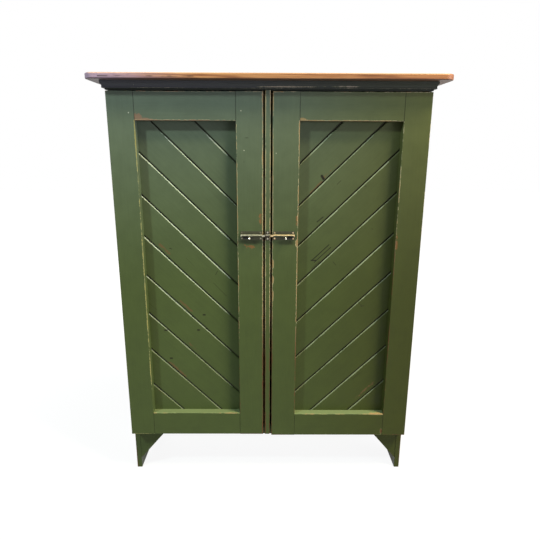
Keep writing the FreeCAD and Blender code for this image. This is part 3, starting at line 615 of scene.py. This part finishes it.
def board_finish(side, number):
    """Paint of one board: rubbed along the upper edge of its V joint, with a painted highlight
    there, and painted shade along the lower edge and deep in the joint.

    A board's place across the slope is s = x sin(slope) + z cos(slope) on the left door, with x
    turned about on the right; its V joints are where s is largest and smallest on its face.
    """
    lean = -OUTWARD[side]
    across = np.array([lean * math.sin(BOARD_SLOPE), 0.0, math.cos(BOARD_SLOPE)])
    along = (lean * math.cos(BOARD_SLOPE), 0.0, -math.sin(BOARD_SLOPE))
    lower, upper = face_extent(f"{side}_door_board_{number:02d}", across)
    half, crest = BOARD_CHAMFER / 2, BOARD_CHAMFER * 0.35
    right_stile = "lock" if side == "left" else "outer"
    panel_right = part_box(f"{side}_door_{right_stile}_stile")[0].x
    panel_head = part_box(f"{side}_door_top_rail")[0].z

    def joint(place, depth, reach, strength):
        point = across * place
        return on_line((point[0], PANEL_FACE + depth, point[2]), along, reach, strength)

    def lit_joint(mix):
        """Rubbing of the upper edge, partly a painted highlight, dimmed by painted shade close to
        the right stile and the top rail.
        """
        rubbed = joint(upper + crest, crest, 0.0038, JOINT_WEAR_AND_HIGHLIGHT[side])(mix)
        beside = mix.span(mix.x, panel_right - 0.06, panel_right - 0.02, 1.0, 0.15)
        below = mix.span(mix.z, panel_head - 0.08, panel_head - 0.025, 1.0, 0.15)
        return mix.times(rubbed, mix.times(beside, below))

    # Colour of the pale joint line: rubbed paint with painted light, paler towards the top.
    def joint_paint_and_highlight(mix):
        return mix.mix(mix.span(mix.z, 0.35, 1.1), *JOINT_PAINT_AND_HIGHLIGHT[side])

    def own(marks):
        """Those of the door's marks that have their middle on this board."""
        return [streak(x, z, *shape, PANEL_FACE) for x, z, *shape in marks[side]
                if lower - BOARD_CHAMFER < np.dot((x, 0.0, z), across) < upper + BOARD_CHAMFER]

    # Painted shade: along the board's lower edge, which faces down, and at the bottom of the V
    # above it.
    joint_shade = [joint(lower - half, half, 0.0056, JOINT_SHADE[side]),
             joint(upper + BOARD_CHAMFER, BOARD_CHAMFER, 0.0028, JOINT_SHADE[side])]
    return paint(f"{side}_board_{number:02d}_paint", along,
                 worn=[] if number == BOARDS[0] else [lit_joint],
                 stains=joint_shade + own(BOARD_STAINS), patches=own(BOARD_PATCHES),
                 bare=behind(PANEL_FACE + PAINTED_BOARD), under=joint_paint_and_highlight, edge=joint_paint_and_highlight)


for side in OUTWARD:
    for number in BOARDS:
        dress(f"{side}_door_board_{number:02d}", board_finish(side, number))


# ---- the case

BRACKET_TOE = 0.003
# The side boards' inner faces are bare above this line, and their front edges to this depth.
PAINT_LINE = DECK_UNDER - 0.004
BARE_DEPTH = 0.0075
SKIN = 0.0005


def finish_side(side):
    """Side board: painted, but bare indoors, with painted shade on the inner face of its feet."""
    out = OUTWARD[side]
    low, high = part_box(f"{side}_side")
    inner = high.x if side == "left" else low.x
    edge = out * SIDE_OUT

    def inner_skin(mix, depth):
        """The board's inner face and the wood behind it, down to a depth."""
        past = mix.times(mix.math("SUBTRACT", mix.x, inner), -out)
        return mix.math("GREATER_THAN", past, -depth)

    def indoors(mix):
        return mix.times(inner_skin(mix, BARE_DEPTH), mix.math("GREATER_THAN", mix.z, PAINT_LINE))

    # Painted shade on the inner face below the bottom board.
    def foot_shade(mix):
        foot = mix.times(inner_skin(mix, SKIN), mix.math("LESS_THAN", mix.z, PAINT_LINE))
        return mix.times(foot, 0.6)

    dress(f"{side}_side", paint(
        f"{side}_side_paint", Z, bare=indoors, stains=[foot_shade],
        worn=[on_line((edge, low.y, 0.0), Z, 0.005, 0.7),
              on_line((edge, high.y, 0.0), Z, 0.005, 0.8),
              on_line((edge, 0.0, 0.0), Y, 0.01, 0.7)],
        under=reddening(TAN), edge=reddening(CREAM)))


def finish_bracket(side):
    """Foot bracket, rubbed along its sloping edge."""
    out = OUTWARD[side]
    low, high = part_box(f"{side}_foot_bracket")
    slope = np.array([out * (high.x - low.x - BRACKET_TOE), 0.0, low.z - high.z])
    slope /= np.linalg.norm(slope)
    head = (low.x if out > 0 else high.x, low.y, high.z)
    dress(f"{side}_foot_bracket", paint(
        f"{side}_bracket_paint", X,
        worn=[on_line(head, slope.tolist(), 0.004, 0.35)],
        under=BRACKET_BROWN, edge=RUBBED_BRACKET))


def finish_front():
    """Base rail, header painted near-black as painted shade in the reveal under the cornice, and
    the post between the doors, rubbed on both arrises.
    """
    low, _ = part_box("base_rail")
    dress("base_rail", paint("base_rail_paint", X,
                             worn=[on_line((0.0, low.y, low.z), X, 0.004, 0.6)]))
    dress("header_rail", paint("header_shade_paint", X, tone=lambda mix: HEADER_SHADE_BLACK))
    low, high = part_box("centre_post")
    dress("centre_post", paint(
        "post_paint", Z, bare=behind(DOOR_FACE + PAINTED_POST),
        worn=[on_line((low.x, low.y, 0.0), Z, 0.005, 0.95),
              on_line((high.x, low.y, 0.0), Z, 0.0035, 0.75)],
        under=reddening(POST_TAN), edge=reddening(CREAM)))


def finish_cornice():
    """Near-black moulding, lighter and bluer to the left as painted light; its front worn in two
    long streaks.
    """
    def lit_black_green(mix):
        return mix.mix(mix.span(mix.x, -0.5, 0.5), CORNICE_LIT_BLUE_BLACK, CORNICE_GREEN_BLACK)

    low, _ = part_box("cornice_front")
    front_marks = {
        "worn": [on_line((0.0, low.y + 0.0045, low.z), X, 0.002, 0.5),
                 on_spot((0.0658, low.y + 0.005, 1.459), (0.14, 0.02, 0.0032), 0.88),
                 on_spot((0.2429, low.y + 0.005, 1.46), (0.13, 0.02, 0.0028), 0.7)],
        "fills": [on_spot((-0.4385, low.y, 1.4629), (0.0022, 0.006, 0.0022)),
                  on_spot((0.2121, low.y, 1.459), (0.0022, 0.006, 0.0028))]}
    for node, along, marks in (("cornice_front", X, front_marks), ("cornice_left", Y, {}),
                               ("cornice_right", Y, {})):
        dress(node, paint(f"{node}_paint", along, tone=lit_black_green, under=CORNICE_TAN,
                          edge=RUBBED_CORNICE, **marks))


def finish_bare_board(node, along):
    """Knotted, stained pine, with dark joints in the back, and green where the bottom board
    shows from the front and from below."""
    mix = Finish(f"{node}_pine")
    colour, grain = bare_pine(mix, along, SHELF_DARK, SHELF_LIGHT)
    stain = mix.span(mix.noise(mix.place, 6.0, 3.0, 0.6), 0.5, 0.8, 0.0, 0.45)
    colour = mix.mix(stain, colour, SHELF_STAIN)
    colour = mix.mix(mix.specks(3.0, 0.009, 0.25), colour, PINE_KNOT)
    if along == Z:
        low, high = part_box(node)
        joints = [mix.line((x, y, 0.0), Z, 0.0016, 0.85)
                  for x in (low.x, high.x) for y in (low.y, high.y)]
        colour = mix.mix(mix.most(joints), colour, BACK_JOINT)
    if node == "bottom_board":
        front = mix.math("LESS_THAN", mix.y, CASE_FRONT + 0.002)
        under = mix.math("LESS_THAN", mix.z, DECK_UNDER + 0.001)
        colour = mix.mix(mix.math("MAXIMUM", front, under), colour, MILK_GREEN)
    mix.relief(grain, 0.0005)
    dress(node, mix.surface(colour, mix.span(grain, 0.3, 0.7, 0.55, 0.72), gloss=0.3))


for side in OUTWARD:
    finish_side(side)
    finish_bracket(side)
finish_front()
finish_cornice()
for node in DECKS:
    finish_bare_board(node, X)
for number in BACK_BOARDS:
    finish_bare_board(f"back_board_{number}", Z)


# ---- the top

PLANKS = 3
# x, y, depth below the face, and size of each knot
KNOTS = ((-0.47, -0.205, 0.002, 0.01), (-0.2, -0.12, 0.0, 0.012), (0.31, 0.02, 0.0, 0.014),
         (0.05, 0.15, 0.0, 0.01), (-0.36, 0.09, 0.0, 0.012), (0.44, -0.2, 0.008, 0.006))


def top_grain(mix, front, plank_width, cloud):
    """Height of the grain: growth rings drawn along X, set off from plank to plank and bent
    round the knots, plus a fine fibre and the cloud."""
    plank = mix.math("FLOOR", mix.math("DIVIDE", mix.math("SUBTRACT", mix.y, front), plank_width))
    bending = mix.most([mix.spot((x, y, TOP_FACE - depth), (size * 6, size * 2.6, size * 2.6))
                        for x, y, depth, size in KNOTS])
    drawn = mix.grain_place(X, 0.055)
    shifted = mix.vector("ADD", drawn, mix.vector("MULTIPLY", (0.37, 0.0, 5.3), plank))
    bent = mix.vector("ADD", shifted, mix.vector("MULTIPLY", (0.0, 0.02, 0.02), bending))
    rings = mix.node("ShaderNodeTexWave", Vector=bent, Scale=26.0, Distortion=9.0, Detail=3.0,
                     Detail_Scale=2.2)
    rings.bands_direction = "DIAGONAL"
    fibre = mix.streaks(X, 0.015, 500.0, 2.0, 0.6)
    grain = mix.math("MULTIPLY_ADD", fibre, 0.3, mix.times(rings.outputs[1], 0.32))
    return mix.math("MULTIPLY_ADD", cloud, 0.55, grain)


def plank_seams(mix, front, plank_width):
    """Thin lines where the planks are glued edge to edge."""
    def seam(row):
        gap = mix.math("SUBTRACT", mix.y, front + row * plank_width)
        return mix.span(mix.math("ABSOLUTE", gap), 0.0, 0.0007, 0.8, 0.0)
    return mix.most([seam(row) for row in range(1, PLANKS)])


def top_finish():
    """Waxed pine, greyed to the left and warmer to the right, with a rubbed upper arris and painted
    shade on the underside and the lower front arris.
    """
    mix = Finish("waxed_pine_top")
    low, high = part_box("top_board")
    plank_width = (high.y - low.y) / PLANKS
    cloud = mix.streaks(X, 0.25, 11.0, 3.0, 0.6)
    grain = top_grain(mix, low.y, plank_width, cloud)
    colour = mix.ramp(grain, (0.3, TOP_DARK), (0.52, TOP_MIDDLE), (0.74, TOP_LIGHT))
    greyed = mix.times(mix.span(mix.x, -0.22, -0.56), mix.span(cloud, 0.2, 0.6))
    colour = mix.lay(colour, TOP_GREYED, greyed, 0.8)
    colour = mix.mix(mix.span(mix.x, 0.3, 0.58, 0.0, 0.55), colour, TOP_WARM)
    in_knots = mix.most([mix.spot((x, y, TOP_FACE - depth), (size * 1.5, size, size))
                         for x, y, depth, size in KNOTS])
    colour = mix.lay(colour, TOP_KNOT, in_knots, 0.85)
    ends = mix.math("GREATER_THAN", mix.math("ABSOLUTE", mix.x), high.x - 0.0012)
    colour = mix.lay(colour, TOP_DARK, ends, 0.35)
    seam = plank_seams(mix, low.y, plank_width)
    colour = mix.mix(seam, colour, TOP_SEAM)
    streaks = mix.span(mix.streaks(X, 0.03, 120.0, 3.0, 0.7), 0.58, 0.74)
    colour = mix.lay(colour, TOP_STREAK, streaks, 0.55)
    # Painted shade: the underside laid darker.
    underside_shade = mix.math("LESS_THAN", mix.z, TOP_UNDER + 0.001)
    colour = mix.lay(colour, TOP_UNDERSIDE_SHADE, underside_shade, 0.7)
    arris = mix.line((0.0, low.y + 0.001, TOP_FACE - 0.001), X, 0.0045, 0.55)
    colour = mix.mix(arris, colour, TOP_ARRIS)
    # Painted shade along the lower front arris.
    lower_arris_shade = mix.line((0.0, low.y + 0.001, TOP_UNDER), X, 0.0055, 0.8)
    colour = mix.mix(lower_arris_shade, colour, TOP_LOWER_ARRIS_SHADE)
    row = mix.line((-0.54, low.y, TOP_UNDER + 0.0075), X, 0.0034, 0.9, 0.3)
    dashes = mix.span(mix.streaks(X, 0.15, 110.0, 2.0, 0.6), 0.47, 0.6)
    colour = mix.mix(mix.times(dashes, row), colour, TOP_DASHES)
    worm = mix.specks(14.0, 0.0012, 0.12)
    colour = mix.lay(colour, WORM_HOLE, worm, 0.9)
    height = mix.math("MULTIPLY_ADD", seam, -0.6, mix.math("MULTIPLY_ADD", worm, -0.8, grain))
    mix.relief(height, 0.0005)
    return mix.surface(colour, mix.span(cloud, 0.3, 0.7, 0.4, 0.52), gloss=0.4)


dress("top_board", top_finish())


# ---- the hardware's finishes

SCREW_SHINE = {"left": 0.45, "right": 0.68}


def metal(name, dark, bright, rubbed, rough=(0.3, 0.5), metallic=0.9, painted_shade=None):
    """Patinated metal: mottled dark skin, bright and smooth where it is rubbed, and blackened with
    painted shade where the mask painted_shade gives it. rough is its least and greatest roughness."""
    mix = Finish(name)
    mottle = mix.noise(mix.place, 260.0, 5.0, 0.65)
    patchy = mix.noise(mix.place, 70.0, 3.0, 0.6)
    colour = mix.mix(mix.span(mottle, 0.35, 0.7), dark, shaded(dark, 1.9))
    uneven = mix.span(patchy, 0.3, 0.7, -0.35, 0.35)
    worn = mix.span(mix.math("ADD", rubbed(mix), uneven), 0.35, 0.75)
    colour = mix.mix(worn, colour, bright)
    if painted_shade is not None:
        colour = mix.mix(painted_shade(mix), colour, DARK)
    mix.relief(mix.math("MULTIPLY_ADD", mottle, 0.6, patchy), 0.0002)
    low, high = rough
    return mix.surface(colour, mix.span(worn, 0.0, 1.0, high, low), gloss=0.5, metal=metallic)


def evenly(strength):
    """The same rubbing all over a piece."""
    return lambda mix: strength


def crown(mix):
    """Strong along the upper front of a bolt's barrel, where hands rub it; the bright line there is
    also a painted highlight.
    """
    return mix.line((0.0, ROD_Y - 0.004, ROD_Z + 0.0036), X, 0.0034, 1.15)


def hooked_crown(end):
    """The crown, carried down over the barrel's outer end."""
    def rubbed(mix):
        hook = mix.line((end, ROD_Y - 0.0045, ROD_Z + 0.003), DOWN, 0.0036, 1.15, 0.007)
        return mix.math("MAXIMUM", crown(mix), hook)
    return rubbed


def finish_bolt(side):
    """Bronze plate, rubbed bright along the barrel with a painted highlight there, and darkened
    with painted shade under the barrel and round the knob; nickelled rod, brass screws.
    """
    out, bright = OUTWARD[side], RUBBED_AND_HIGHLIGHT[side]
    shade_x = middle(f"{side}_bolt_knob")[0] + out * 0.01
    plate_low, plate_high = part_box(f"{side}_bolt_plate")
    barrel_end = (plate_low.x if side == "left" else plate_high.x) - out * 0.002

    # Painted shade under the barrel and round the knob.
    def painted_shade(mix):
        round_knob = mix.spot((shade_x, ROD_Y, ROD_Z - 0.007), (0.032, 0.03, 0.0085), 1.1)
        return mix.most([round_knob, mix.line((0.0, ROD_Y, ROD_Z - 0.0068), X, 0.0045, 0.8)])

    dress(f"{side}_bolt_plate", metal(f"{side}_plate_bronze", PLATE_BRONZE, bright,
                                      hooked_crown(barrel_end), metallic=0.4, painted_shade=painted_shade))
    dress(f"{side}_bolt_rod", metal(f"{side}_rod_nickel", ROD_NICKEL, bright, evenly(0.75),
                                    (0.22, 0.4)))
    dress(f"{side}_bolt_screws", metal(f"{side}_screw_brass", PLATE_SCREW_BRASS, bright,
                                       evenly(SCREW_SHINE[side])))


for side in OUTWARD:
    finish_bolt(side)
dress("keeper", metal("keeper_bronze", KEEPER_BRONZE, SILVER, crown))
dress("keeper_screws", metal("keeper_screw_brass", KEEPER_SCREW_BRASS, SILVER, evenly(0.8),
                             (0.25, 0.45)))
hinge_iron = metal("hinge_iron", HINGE_IRON, HINGE_RUBBED, evenly(0.3), (0.35, 0.6))
for node in ("case_hinge_leaves", "left_door_hinge_leaves", "right_door_hinge_leaves"):
    dress(node, hinge_iron)


# ---- turned and domed pieces

def turned(profile, sides=32):
    """Grid of a turned shape: at angle t, profile point (r, h) lies at (r cos t, r sin t, h)."""
    angles = np.linspace(0.0, 2 * math.pi, sides, endpoint=False)
    radius, height = np.array(profile).T
    return np.stack([radius[:, None] * np.cos(angles), radius[:, None] * np.sin(angles),
                     height[:, None] + np.zeros(sides)], axis=-1)


def aimed(grid, directions, places):
    """Copies of a grid made along +Z, turned to one direction or each to its own, and moved."""
    places = np.asarray(places, float)
    directions = np.broadcast_to(np.asarray(directions, float), places.shape)
    helper = np.where(np.abs(directions[:, 2:]) > 0.9, [X], [Z])
    first = np.cross(helper, directions)
    first /= np.linalg.norm(first, axis=1, keepdims=True)
    second = np.cross(directions, first)
    turn = np.stack([first, second, directions], axis=1)
    return np.einsum("uvk,nkj->nuvj", grid, turn) + places[:, None, None, :]


def piece(name, grids, material, body):
    """One object over a stack of grids, each closed round its second way and at its two poles."""
    copies, rows, sides, _ = grids.shape
    row, side = np.meshgrid(np.arange(rows - 1), np.arange(sides), indexing="ij")
    after = (side + 1) % sides
    quads = np.stack([row * sides + side, row * sides + after,
                      (row + 1) * sides + after, (row + 1) * sides + side], axis=-1).reshape(-1, 4)
    faces = (quads[None] + (np.arange(copies) * rows * sides)[:, None, None]).reshape(-1, 4)
    mesh = bpy.data.meshes.new(name)
    mesh.from_pydata(grids.reshape(-1, 3), [], faces.tolist())
    shape = bmesh.new()
    shape.from_mesh(mesh)
    bmesh.ops.remove_doubles(shape, verts=shape.verts, dist=1e-7)
    bmesh.ops.recalc_face_normals(shape, faces=shape.faces)
    shape.to_mesh(mesh)
    shape.free()
    mesh.shade_smooth()
    mesh.materials.append(material)
    made = added(name, mesh)
    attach(made, body)
    return made


def ball(radius, centre, half_height, start, points):
    """Profile of a flattened ball: r = radius cos a, h = centre + half_height sin a, from the
    angle start, in half turns, up to its pole."""
    angle = np.linspace(start, 0.5, points) * math.pi
    curve = np.stack([radius * np.cos(angle), centre + half_height * np.sin(angle)], axis=1)
    curve[-1, 0] = 0.0
    return curve


# ---- knobs

KNOB_TILT = math.radians(48.0)
KNOB_HANG = (0.0, -math.sin(KNOB_TILT), -math.cos(KNOB_TILT))
KNOB_STEM = [[0.0, 0.0], [0.002, 0.0], [0.002, 0.0072], [0.0027, 0.0078], [0.0027, 0.0086],
             [0.0017, 0.0093]]
KNOB_PROFILE = np.vstack([KNOB_STEM, ball(0.0036, 0.0126, 0.0034, -0.32, 13)])

for side in OUTWARD:
    axis = [(middle(f"{side}_bolt_knob")[0], ROD_Y, ROD_Z)]
    finish = metal(f"{side}_knob_nickel", KNOB_NICKEL, KNOB_SHINE, evenly(0.9), (0.16, 0.3))
    knob = piece(f"{side}_turned_knob", aimed(turned(KNOB_PROFILE), KNOB_HANG, axis), finish,
                 f"{side}_bolt")
    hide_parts(f"{side}_bolt_knob")


# ---- hinge tips and screw heads

HINGE_HALF_HEIGHT = 0.038
LEAF_HALF_GAP = 0.0002
PIN_INSET = 0.004
SCREW_INSET = 0.0085
SCREW_STAGGER = 0.002
# Height above the hinge's middle of each screw in a leaf, and the way it is staggered.
SCREW_ROW = ((-0.025, 1), (0.0, -1), (0.025, 1))
TIP_PROFILE = np.vstack([[[0.0, -0.0004], [0.0032, -0.0004], [0.0032, 0.0008]],
                         ball(0.0034, 0.0038, 0.0026, -0.4, 9)])


def slotted_head(radius, height, slot, rings=10, sides=40):
    """Flat head with a slot: h = height, but height / 6 where |r sin t| is within half the slot."""
    r = np.linspace(0.0, 1.0, rings) * radius
    grid = turned(np.stack([r, np.full(rings, height)], axis=1), sides)
    grid[..., 2] = np.where(np.abs(grid[..., 1]) < slot / 2, height / 6, grid[..., 2])
    rim, sunk = radius * 1.06, -0.0003
    return np.concatenate([grid, turned([[rim, 0.0], [rim, sunk], [0.0, sunk]], sides)])


def hinge_fittings():
    """Ball tips on the pins, and the slotted heads of three screws in every leaf."""
    hinge_y = middle("case_hinge_leaves")[1]
    screw_iron = metal("hinge_screw_iron", HINGE_SCREW_IRON, HINGE_SCREW_RUBBED, evenly(0.5))
    head = slotted_head(0.0034, 0.00012, 0.0008)
    tip_places, tip_ways, case_heads = [], [], []
    for side, out in OUTWARD.items():
        low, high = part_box(f"{side}_door_hinge_leaves")
        hinges = (low.z + HINGE_HALF_HEIGHT, high.z - HINGE_HALF_HEIGHT)
        pin = abs(low.x if side == "left" else high.x) - PIN_INSET
        for z in hinges:
            for way in (1.0, -1.0):
                tip_places.append((out * pin, hinge_y, z + way * HINGE_HALF_HEIGHT))
                tip_ways.append((0.0, 0.0, way))
        spots = [(out * (SIDE_OUT - SCREW_INSET + SCREW_STAGGER * lean), z + shift)
                 for z in hinges for shift, lean in SCREW_ROW]
        case_heads += [(x, hinge_y + LEAF_HALF_GAP, z) for x, z in spots]
        door_heads = [(x, hinge_y - LEAF_HALF_GAP, z) for x, z in spots]
        piece(f"{side}_door_hinge_screws", aimed(head, Y, door_heads), screw_iron,
              f"{side}_door")
    piece("case_hinge_screws", aimed(head, FORWARD, case_heads), screw_iron, "case")
    piece("hinge_pin_tips", aimed(turned(TIP_PROFILE, 24), tip_ways, tip_places), hinge_iron,
          "case")


hinge_fittings()


# ---- nails

BACK_NAIL_INSET = 0.035
PANEL_NAIL_LAP = 0.011


def dome(radius, height, sunk=0.0004):
    """Profile of a nail head: h = height (1 - (r / radius)^2), closed below the surface."""
    r = np.linspace(0.0, 1.0, 5)
    crown_line = np.stack([r * radius, height * (1 - r ** 2)], axis=1)
    return np.vstack([crown_line, [[radius, -sunk], [0.0, -sunk]]])


def case_nails(nail_iron, nail_paint):
    """Nails at the bottom board and each shelf: painted over on the sides, bare on the back."""
    levels = [middle(board)[2] for board in DECKS]
    head = turned(dome(0.0023, 0.0004), 16)
    depths = np.linspace(CASE_FRONT + 0.045, CASE_BACK - 0.04, 4)
    for side, out in OUTWARD.items():
        places = [(out * SIDE_OUT, y, z) for z in levels for y in depths]
        piece(f"{side}_side_nails", aimed(head, (out, 0.0, 0.0), places), nail_paint, "case")
    places = []
    for number in BACK_BOARDS:
        low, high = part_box(f"back_board_{number}")
        for x in (low.x + BACK_NAIL_INSET, high.x - BACK_NAIL_INSET):
            places += [(x, CASE_BACK, z) for z in (*levels, TOP_UNDER - 0.012)]
    piece("back_nails", aimed(head, Y, places), nail_iron, "case")


def panel_nails(side, nail_iron):
    """Bare nails inside a door, all round the panel where its boards lie on the frame."""
    field = [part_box(f"{side}_door_board_{number:02d}") for number in BOARDS]
    left, right = min(low.x for low, _ in field), max(high.x for _, high in field)
    foot, head = min(low.z for low, _ in field), max(high.z for _, high in field)
    lap = PANEL_NAIL_LAP
    columns = [(x, z) for x in (left + lap, right - lap)
               for z in np.linspace(foot + 0.035, head - 0.035, 16)]
    rows = [(x, z) for z in (foot + lap, head - lap)
            for x in np.linspace(left + 0.06, right - 0.06, 5)]
    places = [(x, PANEL_BACK, z) for x, z in columns + rows]
    piece(f"{side}_panel_nails", aimed(turned(dome(0.0019, 0.0003), 12), Y, places), nail_iron,
          f"{side}_door")


bare_nail = metal("nail_iron", NAIL_IRON, NAIL_RUBBED, evenly(0.3), (0.4, 0.6))
case_nails(bare_nail, paint("nail_paint", Z))
for side in OUTWARD:
    panel_nails(side, bare_nail)


# ---- studio

WHITE = (1.0, 1.0, 1.0, 1.0)
CAMERA_PLACE = (-0.0049, -1.8144, 1.2737)
PITCH, YAW, ROLL = 0.2561, 0.0053, -0.0038
LENS_MM, SENSOR_MM = 31.56, 36.0

WORLD_TINT, WORLD_FILL = (0.8, 0.95, 1.25, 1.0), 0.1
FLOOR_HALF, FLOOR_DIFFUSE = 12.0, 0.12

# name, place, aim, width, height, power and colour of each lamp
FRONT, REAR = (0.0, DOOR_FACE, 0.8), (0.0, CASE_BACK, 0.75)
LAMPS = (("left_lamp", (-2.6, -2.2, 3.66), FRONT, 0.3, 0.3, 100.0, (0.86, 1.06, 1.0)),
         ("high_lamp", (3.1, -1.9, 6.1), FRONT, 1.4, 1.6, 520.0, (1.08, 1.0, 0.62)),
         ("low_lamp", (4.0, -2.3, 1.2), FRONT, 3.4, 1.8, 125.0, (1.0, 0.97, 1.15)),
         ("back_lamp", (-1.4, 4.0, 2.4), REAR, 2.5, 2.0, 110.0, (1.0, 1.0, 1.0)))


def stand(name, data, right, up, back, place):
    """Puts a camera or lamp in its place, turned to its own right, up and back directions."""
    made = added(name, data)
    columns = np.stack([right, up, back, place], axis=1)
    made.matrix_world = Matrix(np.vstack([columns, [0, 0, 0, 1]]).tolist())
    return made


def set_camera():
    """Camera a little below the top's height, looking down at the doors.

    It looks along (sin yaw cos pitch, cos yaw cos pitch, -sin pitch), rolled about that line.
    """
    level_right = np.array([math.cos(YAW), -math.sin(YAW), 0.0])
    ahead = np.array([math.sin(YAW) * math.cos(PITCH), math.cos(YAW) * math.cos(PITCH),
                      -math.sin(PITCH)])
    upward = np.cross(level_right, ahead)
    right = math.cos(ROLL) * level_right - math.sin(ROLL) * upward
    up = math.sin(ROLL) * level_right + math.cos(ROLL) * upward
    lens = bpy.data.cameras.new("camera")
    lens.lens, lens.sensor_width = LENS_MM, SENSOR_MM
    bpy.context.scene.camera = stand("camera", lens, right, up, -ahead, CAMERA_PLACE)


def set_lamp(name, place, aim, width, height, power, colour):
    """Soft lamp, level from side to side, facing what it is aimed at."""
    lamp = bpy.data.lights.new(name, "AREA")
    lamp.shape = "RECTANGLE"
    lamp.size, lamp.size_y, lamp.energy, lamp.color = width, height, power, colour
    back = np.array(place) - np.array(aim)
    back /= np.linalg.norm(back)
    right = np.cross(Z, back)
    right /= np.linalg.norm(right)
    stand(name, lamp, right, np.cross(back, right), back, place)


def seen_by_camera(tree):
    """1 for what the camera sees, straight or in gloss and glass, and 0 for all other light."""
    path = tree.nodes.new("ShaderNodeLightPath")
    seen = path.outputs["Is Camera Ray"]
    for ray in ("Is Glossy Ray", "Is Transmission Ray"):
        either = tree.nodes.new("ShaderNodeMath")
        either.operation = "MAXIMUM"
        tree.links.new(seen, either.inputs[0])
        tree.links.new(path.outputs[ray], either.inputs[1])
        seen = either.outputs[0]
    return seen


def set_world():
    """A weak cool fill for the object, and plain white for the camera."""
    world = bpy.data.worlds.new("studio")
    bpy.context.scene.world = world
    world.use_nodes = True
    tree = world.node_tree
    both = tree.nodes.new("ShaderNodeMixShader")
    tree.links.new(seen_by_camera(tree), both.inputs[0])
    for socket, colour, strength in ((both.inputs[1], WORLD_TINT, WORLD_FILL),
                                     (both.inputs[2], WHITE, 1.0)):
        light = tree.nodes.new("ShaderNodeBackground")
        light.inputs[0].default_value = colour
        light.inputs[1].default_value = strength
        tree.links.new(light.outputs[0], socket)
    tree.links.new(both.outputs[0], tree.nodes["World Output"].inputs[0])


def set_floor():
    """White floor that glows for the camera, a little less near the object, and keeps shadows."""
    half = FLOOR_HALF
    corners = [(-half, -half, 0), (half, -half, 0), (half, half, 0), (-half, half, 0)]
    mesh = bpy.data.meshes.new("floor")
    mesh.from_pydata(corners, [], [(0, 1, 2, 3)])
    floor = added("floor", mesh)
    mix = Finish("white_floor")
    mesh.materials.append(mix.surface((FLOOR_DIFFUSE,) * 3 + (1.0,), 0.8, gloss=0.0))
    seen = seen_by_camera(mix.material.node_tree)
    mix.shader.inputs["Emission Color"].default_value = WHITE
    glow = mix.span(mix.vector("LENGTH", mix.place), 0.8, 2.4, 0.9, 1.0)
    mix.feed(mix.shader.inputs["Emission Strength"], mix.times(seen, glow))


set_camera()
set_world()
set_floor()
for lamp in LAMPS:
    set_lamp(*lamp)
bpy.context.scene.view_settings.view_transform = "Standard"
